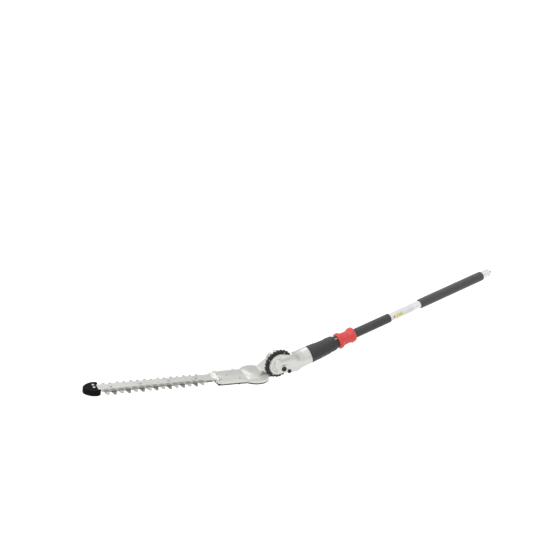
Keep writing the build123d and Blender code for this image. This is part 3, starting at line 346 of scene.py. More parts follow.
class Effects:
    """The node groups that the finishes share."""

    def __init__(self) -> None:
        """Builds each group once."""
        self.grain = self._grain()
        self.wear = self._wear()
        self.dust = self._dust()

    def _grain(self) -> bpy.types.NodeTree:
        """Fine grain and slow mottling: noise stretched by a vector, and noise at a coarser scale.

        Returns:
            The group, which puts out the grain's height and the mottling.
        """
        tree, sheet = new_group(
            "fine_grain",
            {
                "Vector": ("NodeSocketVector", None),
                "Stretch": ("NodeSocketVector", (1.0, 1.0, 1.0)),
                "Scale": ("NodeSocketFloat", 900.0),
                "Mottle Scale": ("NodeSocketFloat", 60.0),
            },
            {"Height": "NodeSocketFloat", "Mottle": "NodeSocketFloat"},
        )
        source = sheet.add("NodeGroupInput")
        pulled = sheet.add(
            "ShaderNodeVectorMath",
            {"operation": "MULTIPLY"},
            i0=source.outputs["Vector"],
            i1=source.outputs["Stretch"],
        )
        fine = sheet.add(
            "ShaderNodeTexNoise",
            Vector=pulled.outputs[0],
            Scale=source.outputs["Scale"],
            Detail=5.0,
            Roughness=0.62,
        )
        slow = sheet.add(
            "ShaderNodeTexNoise",
            Vector=source.outputs["Vector"],
            Scale=source.outputs["Mottle Scale"],
            Detail=3.0,
            Roughness=0.5,
        )
        spread = sheet.add("ShaderNodeMapRange", Value=slow.outputs["Fac"], From_Min=0.32, From_Max=0.68)
        sheet.add("NodeGroupOutput", Height=fine.outputs["Fac"], Mottle=spread.outputs["Result"])
        return tree

    def _wear(self) -> bpy.types.NodeTree:
        """Bright worn edges: how far the bevelled normal leans from the face's own, broken up with noise.

        Returns:
            The group, which puts out the worn share and the bevelled normal.
        """
        tree, sheet = new_group(
            "edge_wear",
            {
                "Vector": ("NodeSocketVector", None),
                "Radius": ("NodeSocketFloat", 0.0006),
                "Amount": ("NodeSocketFloat", 0.5),
            },
            {"Edge": "NodeSocketFloat", "Soft Normal": "NodeSocketVector"},
        )
        source = sheet.add("NodeGroupInput")
        bevel = sheet.add("ShaderNodeBevel", {"samples": 6}, Radius=source.outputs["Radius"])
        shape = sheet.add("ShaderNodeNewGeometry")
        lean = sheet.add(
            "ShaderNodeVectorMath",
            {"operation": "DOT_PRODUCT"},
            i0=bevel.outputs[0],
            i1=shape.outputs["Normal"],
        )
        turn = sheet.math("SUBTRACT", 1.0, lean.outputs["Value"], clamp=True)
        broken = sheet.add(
            "ShaderNodeTexNoise", Vector=source.outputs["Vector"], Scale=420.0, Detail=4.0, Roughness=0.7
        )
        patchy = sheet.add("ShaderNodeMapRange", Value=broken.outputs["Fac"], From_Min=0.35, From_Max=0.6)
        strong = sheet.math("MULTIPLY", turn, 5.0, clamp=True)
        worn = sheet.math("MULTIPLY", strong, patchy.outputs["Result"])
        edge = sheet.math("MULTIPLY", worn, source.outputs["Amount"], clamp=True)
        sheet.add("NodeGroupOutput", Edge=edge, Soft_Normal=bevel.outputs[0])
        return tree

    def _dust(self) -> bpy.types.NodeTree:
        """Dust that settles where a face looks up: the normal's height to the third power, times noise.

        Returns:
            The group, which puts out the dusty share.
        """
        tree, sheet = new_group(
            "settled_dust",
            {"Vector": ("NodeSocketVector", None), "Amount": ("NodeSocketFloat", 0.1)},
            {"Mask": "NodeSocketFloat"},
        )
        source = sheet.add("NodeGroupInput")
        shape = sheet.add("ShaderNodeNewGeometry")
        parts = sheet.add("ShaderNodeSeparateXYZ", Vector=shape.outputs["Normal"])
        facing = sheet.math("POWER", sheet.math("MAXIMUM", parts.outputs["Z"], 0.0), 3.0)
        patches = sheet.add("ShaderNodeTexNoise", Vector=source.outputs["Vector"], Scale=45.0, Detail=5.0)
        mask = sheet.math("MULTIPLY", facing, patches.outputs["Fac"])
        sheet.add("NodeGroupOutput", Mask=sheet.math("MULTIPLY", mask, source.outputs["Amount"], clamp=True))
        return tree


@dataclass(frozen=True)
class Finish:
    """One finish: its colours, its gloss, its grain and its wear."""

    name: str
    colour: tuple[float, float, float]
    shade: tuple[float, float, float]
    worn: tuple[float, float, float]
    metallic: float = 0.0
    roughness: tuple[float, float] = (0.4, 0.55)
    grain: Grain = Grain.CAST
    lie: Lie = Lie.POLE
    scale: float = 900.0
    mottle: float = 60.0
    mottle_share: float = 0.5
    bump: float = 0.25
    depth: float = 0.0002
    edge: float = 0.5
    edge_radius: float = 0.0006
    dust: float = 0.05
    coat: float = 0.0
    sheen: float = 0.0
    specular: float = 0.5

    def _lay(self, sheet: Sheet, place: bpy.types.NodeSocket) -> tuple[bpy.types.NodeSocket, tuple]:
        """Turns the pattern's coordinates to the grain's direction.

        Args:
            sheet: the material's tree.
            place: the coordinates' socket.

        Returns:
            The turned coordinates' socket, and the grain's stretch along each axis.
        """
        if self.grain is not Grain.BRUSHED:
            return place, (1.0, 1.0, 1.0)
        if self.lie is Lie.POLE:
            return place, (0.03, 1.0, 1.0)
        turned_by = sheet.add("ShaderNodeMapping", Vector=place, Rotation=(0.0, TILT, 0.0))
        stretch = (0.03, 1.0, 1.0) if self.lie is Lie.HEAD else (1.0, 0.03, 1.0)
        return turned_by.outputs[0], stretch

    def material(self, effects: Effects) -> bpy.types.Material:
        """Builds the finish as a material.

        Args:
            effects: the shared node groups.

        Returns:
            The new material.
        """
        material = bpy.data.materials.new(self.name)
        material.use_nodes = True
        material.node_tree.nodes.clear()
        sheet = Sheet(material.node_tree)
        place = sheet.add("ShaderNodeTexCoord").outputs["Object"]
        laid, stretch = self._lay(sheet, place)
        grain = sheet.add(
            "ShaderNodeGroup",
            {"node_tree": effects.grain},
            Vector=laid,
            Stretch=stretch,
            Scale=self.scale,
            Mottle_Scale=self.mottle,
        )
        height = grain.outputs["Height"]
        if self.grain in (Grain.PORES, Grain.MOULDED):
            cells = sheet.add(
                "ShaderNodeTexVoronoi", {"feature": "F1" if self.grain is Grain.PORES else "SMOOTH_F1"},
                Vector=place, Scale=self.scale,
            )
            height = sheet.math("ADD", cells.outputs["Distance"], sheet.math("MULTIPLY", height, 0.35))
        wear = sheet.add(
            "ShaderNodeGroup",
            {"node_tree": effects.wear},
            Vector=place,
            Radius=self.edge_radius,
            Amount=self.edge,
        )
        dust = sheet.add("ShaderNodeGroup", {"node_tree": effects.dust}, Vector=place, Amount=self.dust)
        share = sheet.math("MULTIPLY", grain.outputs["Mottle"], self.mottle_share)
        base = sheet.mix(share, (*self.colour, 1.0), (*self.shade, 1.0))
        base = sheet.mix(wear.outputs["Edge"], base, (*self.worn, 1.0))
        base = sheet.mix(dust.outputs["Mask"], base, DUST_COLOUR)
        rough = sheet.add(
            "ShaderNodeMapRange",
            Value=grain.outputs["Height"],
            From_Min=0.3,
            From_Max=0.7,
            To_Min=self.roughness[0],
            To_Max=self.roughness[1],
        )
        dull = sheet.math("ADD", rough.outputs["Result"], dust.outputs["Mask"], clamp=True)
        bump = sheet.add(
            "ShaderNodeBump",
            Strength=self.bump,
            Distance=self.depth,
            Height=height,
            Normal=wear.outputs["Soft Normal"],
        )
        shader = sheet.add(
            "ShaderNodeBsdfPrincipled",
            Base_Color=base,
            Metallic=self.metallic,
            Roughness=dull,
            Coat_Weight=self.coat,
            Coat_Roughness=0.25,
            Sheen_Weight=self.sheen,
            Specular_IOR_Level=self.specular,
            Normal=bump.outputs[0],
        )
        sheet.add("ShaderNodeOutputMaterial", Surface=shader.outputs[0])
        return material


@dataclass(frozen=True)
class LabelFilm:
    """The printed film on the pole: a white ground with plain colour fields and no words."""

    name: str = "label_film"
    start: float = -0.4195
    end: float = -0.3265
    field_colour: tuple[float, float, float] = (0.55, 0.58, 0.24)
    mark_colour: tuple[float, float, float] = (0.30, 0.32, 0.14)
    dot_colour: tuple[float, float, float] = (0.60, 0.05, 0.05)
    marks: tuple = ((0.024, 0.0265), (0.030, 0.0315), (0.0335, 0.035), (0.038, 0.0425))

    def _box(self, sheet: Sheet, x: object, turn: object, spans: tuple[float, float, float, float]) -> object:
        """A field between two places along the pole and two turns round it.

        Args:
            sheet: the material's tree.
            x: the socket of the place along the pole.
            turn: the socket of the angle round it.
            spans: the lowest and highest place, then the lowest and highest angle.

        Returns:
            The socket of a mask that is 1 inside the field and 0 outside it.
        """
        low_x, high_x, low_turn, high_turn = spans
        parts = (
            sheet.math("GREATER_THAN", x, low_x),
            sheet.math("LESS_THAN", x, high_x),
            sheet.math("GREATER_THAN", turn, low_turn),
            sheet.math("LESS_THAN", turn, high_turn),
        )
        first = sheet.math("MULTIPLY", parts[0], parts[1])
        return sheet.math("MULTIPLY", first, sheet.math("MULTIPLY", parts[2], parts[3]))

    def material(self, effects: Effects) -> bpy.types.Material:
        """Builds the film's material.

        Args:
            effects: the shared node groups.

        Returns:
            The new material.
        """
        material = bpy.data.materials.new(self.name)
        material.use_nodes = True
        material.node_tree.nodes.clear()
        sheet = Sheet(material.node_tree)
        place = sheet.add("ShaderNodeTexCoord").outputs["Object"]
        parts = sheet.add("ShaderNodeSeparateXYZ", Vector=place)
        toward = sheet.math("MULTIPLY", parts.outputs["Y"], -1.0)
        turn = sheet.add(
            "ShaderNodeMath", {"operation": "ARCTAN2"}, i0=parts.outputs["Z"], i1=toward
        ).outputs[0]
        x = parts.outputs["X"]
        grain = sheet.add("ShaderNodeGroup", {"node_tree": effects.grain}, Vector=place, Scale=500.0)
        base = sheet.mix(grain.outputs["Mottle"], (0.60, 0.59, 0.61, 1.0), (0.55, 0.545, 0.56, 1.0))
        field_mask = self._box(sheet, x, turn, (self.start + 0.020, self.start + 0.047, -0.45, 0.95))
        base = sheet.mix(field_mask, base, (*self.field_colour, 1.0))
        for low, high in self.marks:
            bar = self._box(sheet, x, turn, (self.start + low, self.start + high, 0.1, 0.6))
            base = sheet.mix(bar, base, (*self.mark_colour, 1.0))
        dot = self._box(sheet, x, turn, (self.start + 0.011, self.start + 0.0165, 0.05, 0.6))
        base = sheet.mix(dot, base, (*self.dot_colour, 1.0))
        rough = sheet.add(
            "ShaderNodeMapRange", Value=grain.outputs["Height"], To_Min=0.22, To_Max=0.36
        ).outputs["Result"]
        bump = sheet.add("ShaderNodeBump", Strength=0.08, Distance=0.0001, Height=grain.outputs["Height"])
        shader = sheet.add(
            "ShaderNodeBsdfPrincipled",
            Base_Color=base,
            Roughness=rough,
            Coat_Weight=0.3,
            Normal=bump.outputs[0],
        )
        sheet.add("ShaderNodeOutputMaterial", Surface=shader.outputs[0])
        return material


def finishes() -> dict[str, Finish | LabelFilm]:
    """Makes every finish of the object.

    Returns:
        The finishes by name.
    """
    made = [
        Finish("cast_silver", (0.59, 0.588, 0.562), (0.50, 0.498, 0.474), (0.80, 0.80, 0.77), metallic=0.9,
               roughness=(0.27, 0.40), scale=1100.0, mottle=38.0, mottle_share=0.35, bump=0.22, depth=0.00018,
               edge=0.35, coat=0.12),
        Finish("pole_metal", (0.72, 0.72, 0.72), (0.63, 0.63, 0.64), (0.9, 0.9, 0.9), metallic=0.9,
               roughness=(0.22, 0.34), grain=Grain.BRUSHED, scale=1500.0, bump=0.10, edge=0.3),
        Finish("bar_metal", (0.53, 0.53, 0.515), (0.46, 0.46, 0.45), (0.9, 0.9, 0.88), metallic=0.7,
               roughness=(0.34, 0.48), grain=Grain.BRUSHED, lie=Lie.HEAD, scale=1300.0, bump=0.16, edge=0.5,
               coat=0.08),
        Finish("blade_upper", (0.50, 0.49, 0.47), (0.40, 0.39, 0.37), (0.82, 0.81, 0.79), metallic=0.92,
               roughness=(0.26, 0.42), grain=Grain.BRUSHED, lie=Lie.ACROSS_HEAD, scale=1500.0, bump=0.2,
               edge=0.9, edge_radius=0.0009),
        # The lower blade is the same steel as the upper one; its much darker colour is painted shade, for
        # teeth that lie in shade below the upper blade.
        Finish("blade_lower", (0.24, 0.235, 0.23), (0.18, 0.175, 0.17), (0.70, 0.69, 0.67), metallic=0.85,
               roughness=(0.30, 0.48), grain=Grain.BRUSHED, lie=Lie.ACROSS_HEAD, scale=1500.0, bump=0.2,
               edge=0.8, edge_radius=0.0009),
        Finish("gear_steel", (0.36, 0.36, 0.37), (0.24, 0.24, 0.24), (0.66, 0.66, 0.66), metallic=0.95,
               roughness=(0.22, 0.4), grain=Grain.BRUSHED, scale=1700.0, bump=0.15, edge=0.7, dust=0.0),
        Finish("bush_bronze", (0.55, 0.36, 0.16), (0.42, 0.26, 0.11), (0.75, 0.55, 0.3), metallic=0.9,
               roughness=(0.3, 0.48), scale=1600.0, bump=0.2, edge=0.4, dust=0.0),
        Finish("black_oxide", (0.020, 0.020, 0.021), (0.034, 0.033, 0.032), (0.30, 0.30, 0.30), metallic=0.35,
               roughness=(0.34, 0.52), scale=1400.0, mottle=140.0, bump=0.2, edge=0.5, specular=0.3),
        Finish("zinc_plate", (0.58, 0.59, 0.60), (0.48, 0.49, 0.50), (0.85, 0.85, 0.85), metallic=0.92,
               roughness=(0.24, 0.4), scale=1300.0, mottle=200.0, bump=0.12, edge=0.5),
        Finish("neck_plastic", (0.026, 0.0265, 0.027), (0.034, 0.0345, 0.035), (0.12, 0.12, 0.12),
               roughness=(0.42, 0.56), grain=Grain.MOULDED, scale=1500.0, mottle=55.0, bump=0.18,
               depth=0.00015, edge=0.5, sheen=0.05, specular=0.3),
        Finish("guard_plastic", (0.004, 0.004, 0.0045), (0.008, 0.008, 0.0085), (0.06, 0.06, 0.06),
               roughness=(0.40, 0.56), grain=Grain.MOULDED, scale=1500.0, mottle=110.0, bump=0.2,
               depth=0.00015, edge=0.4, dust=0.0, specular=0.04),
        Finish("collar_red", (0.56, 0.036, 0.034), (0.48, 0.024, 0.024), (0.86, 0.22, 0.20),
               roughness=(0.34, 0.46), grain=Grain.MOULDED, scale=1400.0, mottle=48.0, mottle_share=0.4,
               bump=0.14, depth=0.00012, edge=0.4, dust=0.04, coat=0.15),
        Finish("sleeve_rubber", (0.024, 0.024, 0.0245), (0.031, 0.031, 0.031), (0.13, 0.13, 0.13),
               roughness=(0.56, 0.70), scale=1300.0, mottle=34.0, bump=0.2, edge=0.3, sheen=0.15),
        Finish("grip_foam", (0.046, 0.046, 0.0465), (0.036, 0.036, 0.0365), (0.12, 0.12, 0.12),
               roughness=(0.78, 0.92), grain=Grain.PORES, scale=780.0, mottle=70.0, bump=0.7, depth=0.0005,
               edge=0.2, sheen=0.3),
        Finish("gasket_sheet", (0.020, 0.020, 0.020), (0.030, 0.030, 0.030), (0.08, 0.08, 0.08),
               roughness=(0.6, 0.75), scale=1300.0, bump=0.15, edge=0.2),
        LabelFilm(),
    ]
    return {finish.name: finish for finish in made}


class Wardrobe:
    """The finished materials, made when first asked for."""

    def __init__(self) -> None:
        """Builds the shared groups and readies the finishes."""
        self.effects = Effects()
        self.finishes = finishes()
        self.made: dict[str, bpy.types.Material] = {}

    def get(self, name: str) -> bpy.types.Material:
        """Gives a finish's material, and makes it the first time.

        Args:
            name: the finish's name.

        Returns:
            The material.
        """
        if name not in self.made:
            self.made[name] = self.finishes[name].material(self.effects)
        return self.made[name]

    def dress(self, piece: bpy.types.Object, name: str) -> None:
        """Gives a piece one finish and no other.

        Args:
            piece: the object to dress.
            name: the finish's name.
        """
        piece.data.materials.clear()
        piece.data.materials.append(self.get(name))


# ---------------------------------------------------------------- pieces


@dataclass
class PoleParts:
    """The foam grip and the rubber sleeve on the pole."""

    grip_front: float = -297.0
    grip_rear: float = -31.0
    grip_radius: float = 16.3
    sleeve_front: float = -583.0
    sleeve_rear: float = -420.0
    sleeve_radius: float = 15.2
    bore: float = 12.72

    def _sock(self, front: float, rear: float, radius: float, soft: float, droop: float) -> np.ndarray:
        """A thick tube's closed profile, with rounded ends and a little less girth towards them.

        Args:
            front: where it starts along the pole, in millimetres.
            rear: where it ends.
            radius: its outer radius.
            soft: how far the rounding of its corners reaches.
            droop: how much less its radius is at the ends.

        Returns:
            The profile's points as rows of (x, r).
        """
        corners = np.array([
            (front, self.bore), (front, radius - droop), (front + 9.0, radius - droop * 0.3),
            (front + 30.0, radius), (rear - 30.0, radius), (rear - 9.0, radius - droop * 0.3),
            (rear, radius - droop), (rear, self.bore),
        ])
        return subdivide(rounded_loop(corners, soft, 7), 2.2)

    def _ripple(self, x: np.ndarray, a: np.ndarray, r: np.ndarray) -> np.ndarray:
        """Foam's unevenness on the outside: three slow waves, up to a seventh of a millimetre inwards.

        Args:
            x: the place along the pole, in millimetres.
            a: the angle from the top towards the near side.
            r: the profile's radius there.

        Returns:
            How far each point stands out, in millimetres.
        """
        wave = np.sin(x * 0.061 + 2.0 * a) + np.sin(x * 0.143 - 3.0 * a + 1.0)
        wave = wave + np.sin(x * 0.31 + a * 5.0)
        return np.where(r > self.bore + 1.0, -0.07 + 0.023 * wave, 0.0)

    def build(self, wardrobe: Wardrobe) -> None:
        """Makes the grip and the sleeve.

        Args:
            wardrobe: the materials.
        """
        grip = surface(
            "grip_sleeve",
            turned(self._sock(self.grip_front, self.grip_rear, self.grip_radius, 2.6, 0.5), 96, self._ripple),
            True, True,
        )
        wardrobe.dress(grip, "grip_foam")
        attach(grip, "pole")
        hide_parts("foam_grip")
        sleeve = surface(
            "rubber_sleeve",
            turned(self._sock(self.sleeve_front, self.sleeve_rear, self.sleeve_radius, 1.4, 0.15), 96),
            True, True,
        )
        wardrobe.dress(sleeve, "sleeve_rubber")
        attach(sleeve, "pole")
        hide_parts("sleeve")
        LOG.info("pole: grip and sleeve")


@dataclass
class NeckShroud:
    """The black plastic cover between the arm and the collar."""

    front: float = -731.0
    rear: float = -634.0
    lip: float = -624.7
    bore: float = 12.75
    tab_x: float = -673.0
    tab_top: float = -23.5
    tab_drop: float = 4.9
    tab_half: tuple[float, float] = (5.6, 4.2)
    tab_power: float = 3.5

    def _relief(self, x: np.ndarray, a: np.ndarray, r: np.ndarray) -> np.ndarray:
        """The raised panel on each side, the hump over the rear top, the ribs and the seams, outside only.

        Args:
            x: the place along the pole, in millimetres.
            a: the angle from the top towards the near side.
            r: the profile's radius there.

        Returns:
            How far each point stands out, in millimetres.
        """
        outside = np.clip((r - 20.0) / 2.0, 0.0, 1.0) * (r > 21.5)
        side = np.abs(np.sin(a))
        low = window(np.cos(a), -0.86, -0.02, 0.10)
        panel = window(x, -700.0, -662.0, 3.0) * low * window(side, 0.45, 1.0, 0.08)
        inner = window(x, -696.0, -668.0, 2.0) * window(np.cos(a), -0.70, -0.16, 0.08)
        hump = window(x, -662.0, -640.0, 4.0) * window(np.cos(a), 0.74, 1.0, 0.16)
        rib = window(np.cos(a), -0.06, 0.02, 0.03) * window(x, -725.0, -645.0, 5.0)
        seam = window(np.cos(a), 0.545, 0.565, 0.02) * window(x, -731.0, -640.0, 2.0)
        return outside * (1.25 * panel - 0.7 * inner * panel + 1.5 * hump + 0.6 * rib - 0.35 * seam)

    def build(self, wardrobe: Wardrobe) -> None:
        """Makes the cover, its lip towards the collar and its tab underneath.

        The tab is a stack of superellipses, |x/a|^p + |y/b|^p = 1, that shrink downwards.

        Args:
            wardrobe: the materials.
        """
        corners = np.array([
            (self.front, 25.6), (self.front, 28.3), (-706.0, 27.45), (-702.0, 27.2), (-698.0, 26.0),
            (-660.0, 24.5), (-640.0, 23.7), (self.rear, 22.4), (self.rear, 20.2), (self.lip, 19.4),
            (self.lip, self.bore), (-637.0, self.bore), (-638.0, 20.8), (-698.0, 23.4),
        ])
        profile = subdivide(rounded_loop(corners, 0.9, 5), 1.1)
        shroud = surface("neck_shroud", turned(profile, 220, self._relief), True, True)
        wardrobe.dress(shroud, "neck_plastic")
        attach(shroud, "pole")
        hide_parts("neck_cover")
        level = np.array([0.0, 0.35, 0.7, 0.9, 1.0])
        size = np.array([1.0, 0.96, 0.9, 0.78, 0.5])
        around = 40
        h, a = np.meshgrid(level, np.arange(around) / around * 2 * math.pi, indexing="ij")
        k = np.repeat(size[:, None], around, axis=1)
        power = self.tab_power
        bulge = 1.0 / (np.abs(np.cos(a)) ** power + np.abs(np.sin(a)) ** power) ** (1 / power)
        x = self.tab_x + self.tab_half[0] * k * bulge * np.cos(a)
        y = self.tab_half[1] * k * bulge * np.sin(a)
        points = np.stack([x, y, self.tab_top - self.tab_drop * h], axis=-1) * MM
        tab = surface("neck_tab", points, False, True, cap=True)
        wardrobe.dress(tab, "neck_plastic")
        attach(tab, "pole")
        LOG.info("neck: shroud and tab")


@dataclass
class ReleaseCollar:
    """The red spool that frees the knuckle when it is pulled back."""

    bore: float = 12.75

    def _relief(self, x: np.ndarray, a: np.ndarray, r: np.ndarray) -> np.ndarray:
        """Finger flats at the waist, a notch low in the rear flange, cuts in the front one and mould lines.

        Args:
            x: the place along the pole, in millimetres.
            a: the angle from the top towards the near side.
            r: the profile's radius there.

        Returns:
            How far each point stands out, in millimetres.
        """
        outside = (r > 20.0).astype(float)
        waist = window(x, -606.0, -582.0, 8.0)
        flats = 0.45 * waist * (np.cos(6.0 * a) - 1.0)
        notch = 2.6 * window(x, -573.5, -558.0, 1.4) * window(np.cos(a - 2.15), 0.83, 1.0, 0.07)
        front_cut = 1.5 * window(x, -626.0, -619.0, 1.2) * window(np.cos(4.0 * a + 0.8), 0.55, 1.0, 0.2)
        line = 0.25 * window(np.abs(np.cos(a)), 0.0, 0.015, 0.02)
        return outside * (flats - notch - front_cut - line)

    def build(self, wardrobe: Wardrobe) -> None:
        """Makes the collar.

        Args:
            wardrobe: the materials.
        """
        corners = np.array([
            (-624.0, self.bore), (-624.0, 24.6), (-622.2, 26.2), (-613.5, 26.2), (-610.0, 24.4),
            (-605.0, 21.9), (-597.0, 21.2), (-588.0, 21.2), (-580.5, 22.0), (-576.0, 24.2),
            (-573.0, 25.2), (-563.0, 25.2), (-561.0, 23.6), (-561.0, 15.3), (-572.0, 15.3),
            (-572.0, 19.0), (-616.0, 19.0), (-616.0, self.bore),
        ])
        profile = subdivide(rounded_loop(corners, 1.3, 6), 0.9)
        spool = surface("collar_spool", turned(profile, 200, self._relief), True, True)
        wardrobe.dress(spool, "collar_red")
        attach(spool, "release_collar")
        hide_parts("collar")
        LOG.info("collar: spool")


@dataclass
class KnuckleArm:
    """The arm's casting: a bevelled disc at the pivot that flows into the round neck."""

    disc: float = 34.8
    neck: float = 28.5
    web_near: float = -24.0
    web_far: float = -16.7
    tail: float = 109.0
    rows: int = 250
    columns: int = 250
    top_line: list = field(default_factory=lambda: [
        (12.0, 32.6), (22.0, 27.4), (34.0, 20.6), (44.0, 13.4), (54.0, 7.4), (66.0, 3.4), (84.0, 0.6),
        (109.0, -0.1),
    ])
    low_line: list = field(default_factory=lambda: [
        (-6.0, -34.2), (8.0, -36.4), (22.0, -41.4), (38.0, -46.5), (50.0, -51.2), (66.0, -55.2),
        (84.0, -56.6), (109.0, -56.9),
    ])

    def _relief(self, x: np.ndarray, z: np.ndarray) -> np.ndarray:
        """How far the near face stands out: rim bevel, sunk crescent, the arm's raised back and a small boss.

        The crescent is an annulus sector about the pivot. The raised back is a rounded ridge whose middle
        runs from the pivot to the neck's upper third. The boss is a small round bump on the ridge's lower
        flank.

        Args:
            x: the place from the pivot towards the collar, in millimetres.
            z: the height above the pivot.

        Returns:
            How far each point stands out, in millimetres.
        """
        away = np.hypot(x, z)
        turn = np.degrees(np.arctan2(z, x)) % 360.0
        rim = -2.0 * smooth_step(away, 31.6, 34.6) * (1.0 - smooth_step(x, 14.0, 26.0))
        crescent = -3.2 * window(away, 19.0, 25.0, 1.7) * window(turn, 76.0, 232.0, 16.0)
        middle = 4.0 - 16.0 * smooth_step(x, 0.0, 80.0)
        half = 13.0 + 9.0 * smooth_step(x, 0.0, 70.0)
        across = np.clip(1.0 - ((z - middle) / half) ** 2, 0.0, 1.0)
        back = 4.6 * smooth_step(x, -14.0, 16.0) * across**1.5 * (1.0 - smooth_step(x, 70.0, 104.0))
        boss = 2.2 * np.exp(-(((x - 56.0) / 4.2) ** 2) - ((z + 15.0) / 5.4) ** 2)
        fade = 1.0 - smooth_step(np.abs(z - middle), half + 14.0, half + 24.0)
        return rim + crescent + back * fade + boss

    def build(self, wardrobe: Wardrobe) -> None:
        """Makes the casting.

        Sections across the arm are superellipses, |y/a|^p + |z/b|^p = 1, with p falling from 9 at the flat
        web to 2 at the round neck, and a is taken apart for the near and the far side. A section's points
        come from the sides of a square, pushed out to the curve, with two fifths of them on the near side.

        Args:
            wardrobe: the materials.
        """
        share = np.linspace(0.0, 1.0, self.rows)
        x = np.where(
            share < 0.16,
            -self.disc * np.cos(share / 0.16 * math.pi / 2),
            (share - 0.16) / 0.84 * self.tail,
        )
        x[0] = -self.disc + 0.02
        round_edge = np.sqrt(np.clip(self.disc**2 - x**2, 0.0, None))
        top_x, top_z = np.array(self.top_line).T
        low_x, low_z = np.array(self.low_line).T
        top = np.where(x < top_x[0], round_edge, np.interp(x, top_x, top_z))
        low = np.where(x < low_x[0], -round_edge, np.interp(x, low_x, low_z))
        kernel = np.hanning(19) / np.hanning(19).sum()
        soft_top = np.convolve(np.pad(top, 9, mode="edge"), kernel, mode="valid")
        soft_low = np.convolve(np.pad(low, 9, mode="edge"), kernel, mode="valid")
        ease = smooth_step(x, 4.0, 16.0)
        top = top * (1 - ease) + soft_top * ease
        low = low * (1 - ease) + soft_low * ease
        near = self.web_near - (self.neck + self.web_near) * smooth_step(x, 14.0, 74.0)
        far = self.web_far + (self.neck - self.web_far) * smooth_step(x, 46.5, 64.0)
        power = 9.0 - 7.0 * smooth_step(x, 22.0, 70.0)
        counts = (0.4, 0.2, 0.2, 0.2)
        side = [np.linspace(-1.0, 1.0, int(self.columns * c), endpoint=False) for c in counts]
        ones = [np.ones_like(s) for s in side]
        square_y = np.concatenate([-ones[0], side[1], ones[2], -side[3]])
        square_z = np.concatenate([-side[0], -ones[1], side[2], ones[3]])
        p = power[:, None]
        push = (np.abs(square_y) ** p + np.abs(square_z) ** p) ** (1.0 / p)
        centre = 0.5 * (self.web_far + self.web_near) * (1.0 - smooth_step(x, 44.0, 92.0))
        reach_near = (centre - near)[:, None]
        reach_far = (far - centre)[:, None]
        half_z = ((top - low) / 2)[:, None]
        y = centre[:, None] + np.where(square_y < 0.0, reach_near, reach_far) * square_y / push
        z = ((top + low) / 2)[:, None] + half_z * square_z / push
        grid_x = np.repeat(x[:, None], y.shape[1], axis=1)
        facing = smooth_step(-square_y / push, 0.55, 0.97)
        y = y - self._relief(grid_x, z) * facing
        points = np.stack([grid_x, y, z], axis=-1) * MM + PIVOT * np.array([1.0, 0.0, 1.0])
        arm = surface("knuckle_arm", points, False, True, cap=True)
        wardrobe.dress(arm, "cast_silver")
        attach(arm, "pole")
        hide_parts("arm_housing", "arm_cover")
        LOG.info("knuckle: arm casting")


@dataclass
class PawlFinger:
    """The end of the lock that the collar pulls, low inside the arm."""

    middle: tuple[float, float, float] = (-779.0, -8.6, 23.0)
    half: tuple[float, float, float] = (12.0, 3.8, 7.0)

    def build(self, wardrobe: Wardrobe) -> None:
        """Makes the finger as a superellipsoid block, |x/a|^7 + |y/b|^7 + |z/c|^7 = 1.

        Args:
            wardrobe: the materials.
        """
        up = np.linspace(-0.5 * math.pi + 0.02, 0.5 * math.pi - 0.02, 32)[:, None]
        turn = (np.arange(48) / 48 * 2 * math.pi)[None, :]
        way = np.stack([np.cos(up) * np.cos(turn), np.cos(up) * np.sin(turn), np.sin(up) + 0 * turn], axis=-1)
        length = (np.abs(way) ** 7).sum(axis=-1, keepdims=True) ** (1 / 7)
        points = (way / length * np.array(self.half) + np.array(self.middle)) * MM
        finger = surface("pawl_finger", points, False, True, cap=True)
        wardrobe.dress(finger, "black_oxide")
        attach(finger, "release_collar")
        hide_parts("lock_pawl")
        LOG.info("release: pawl finger")


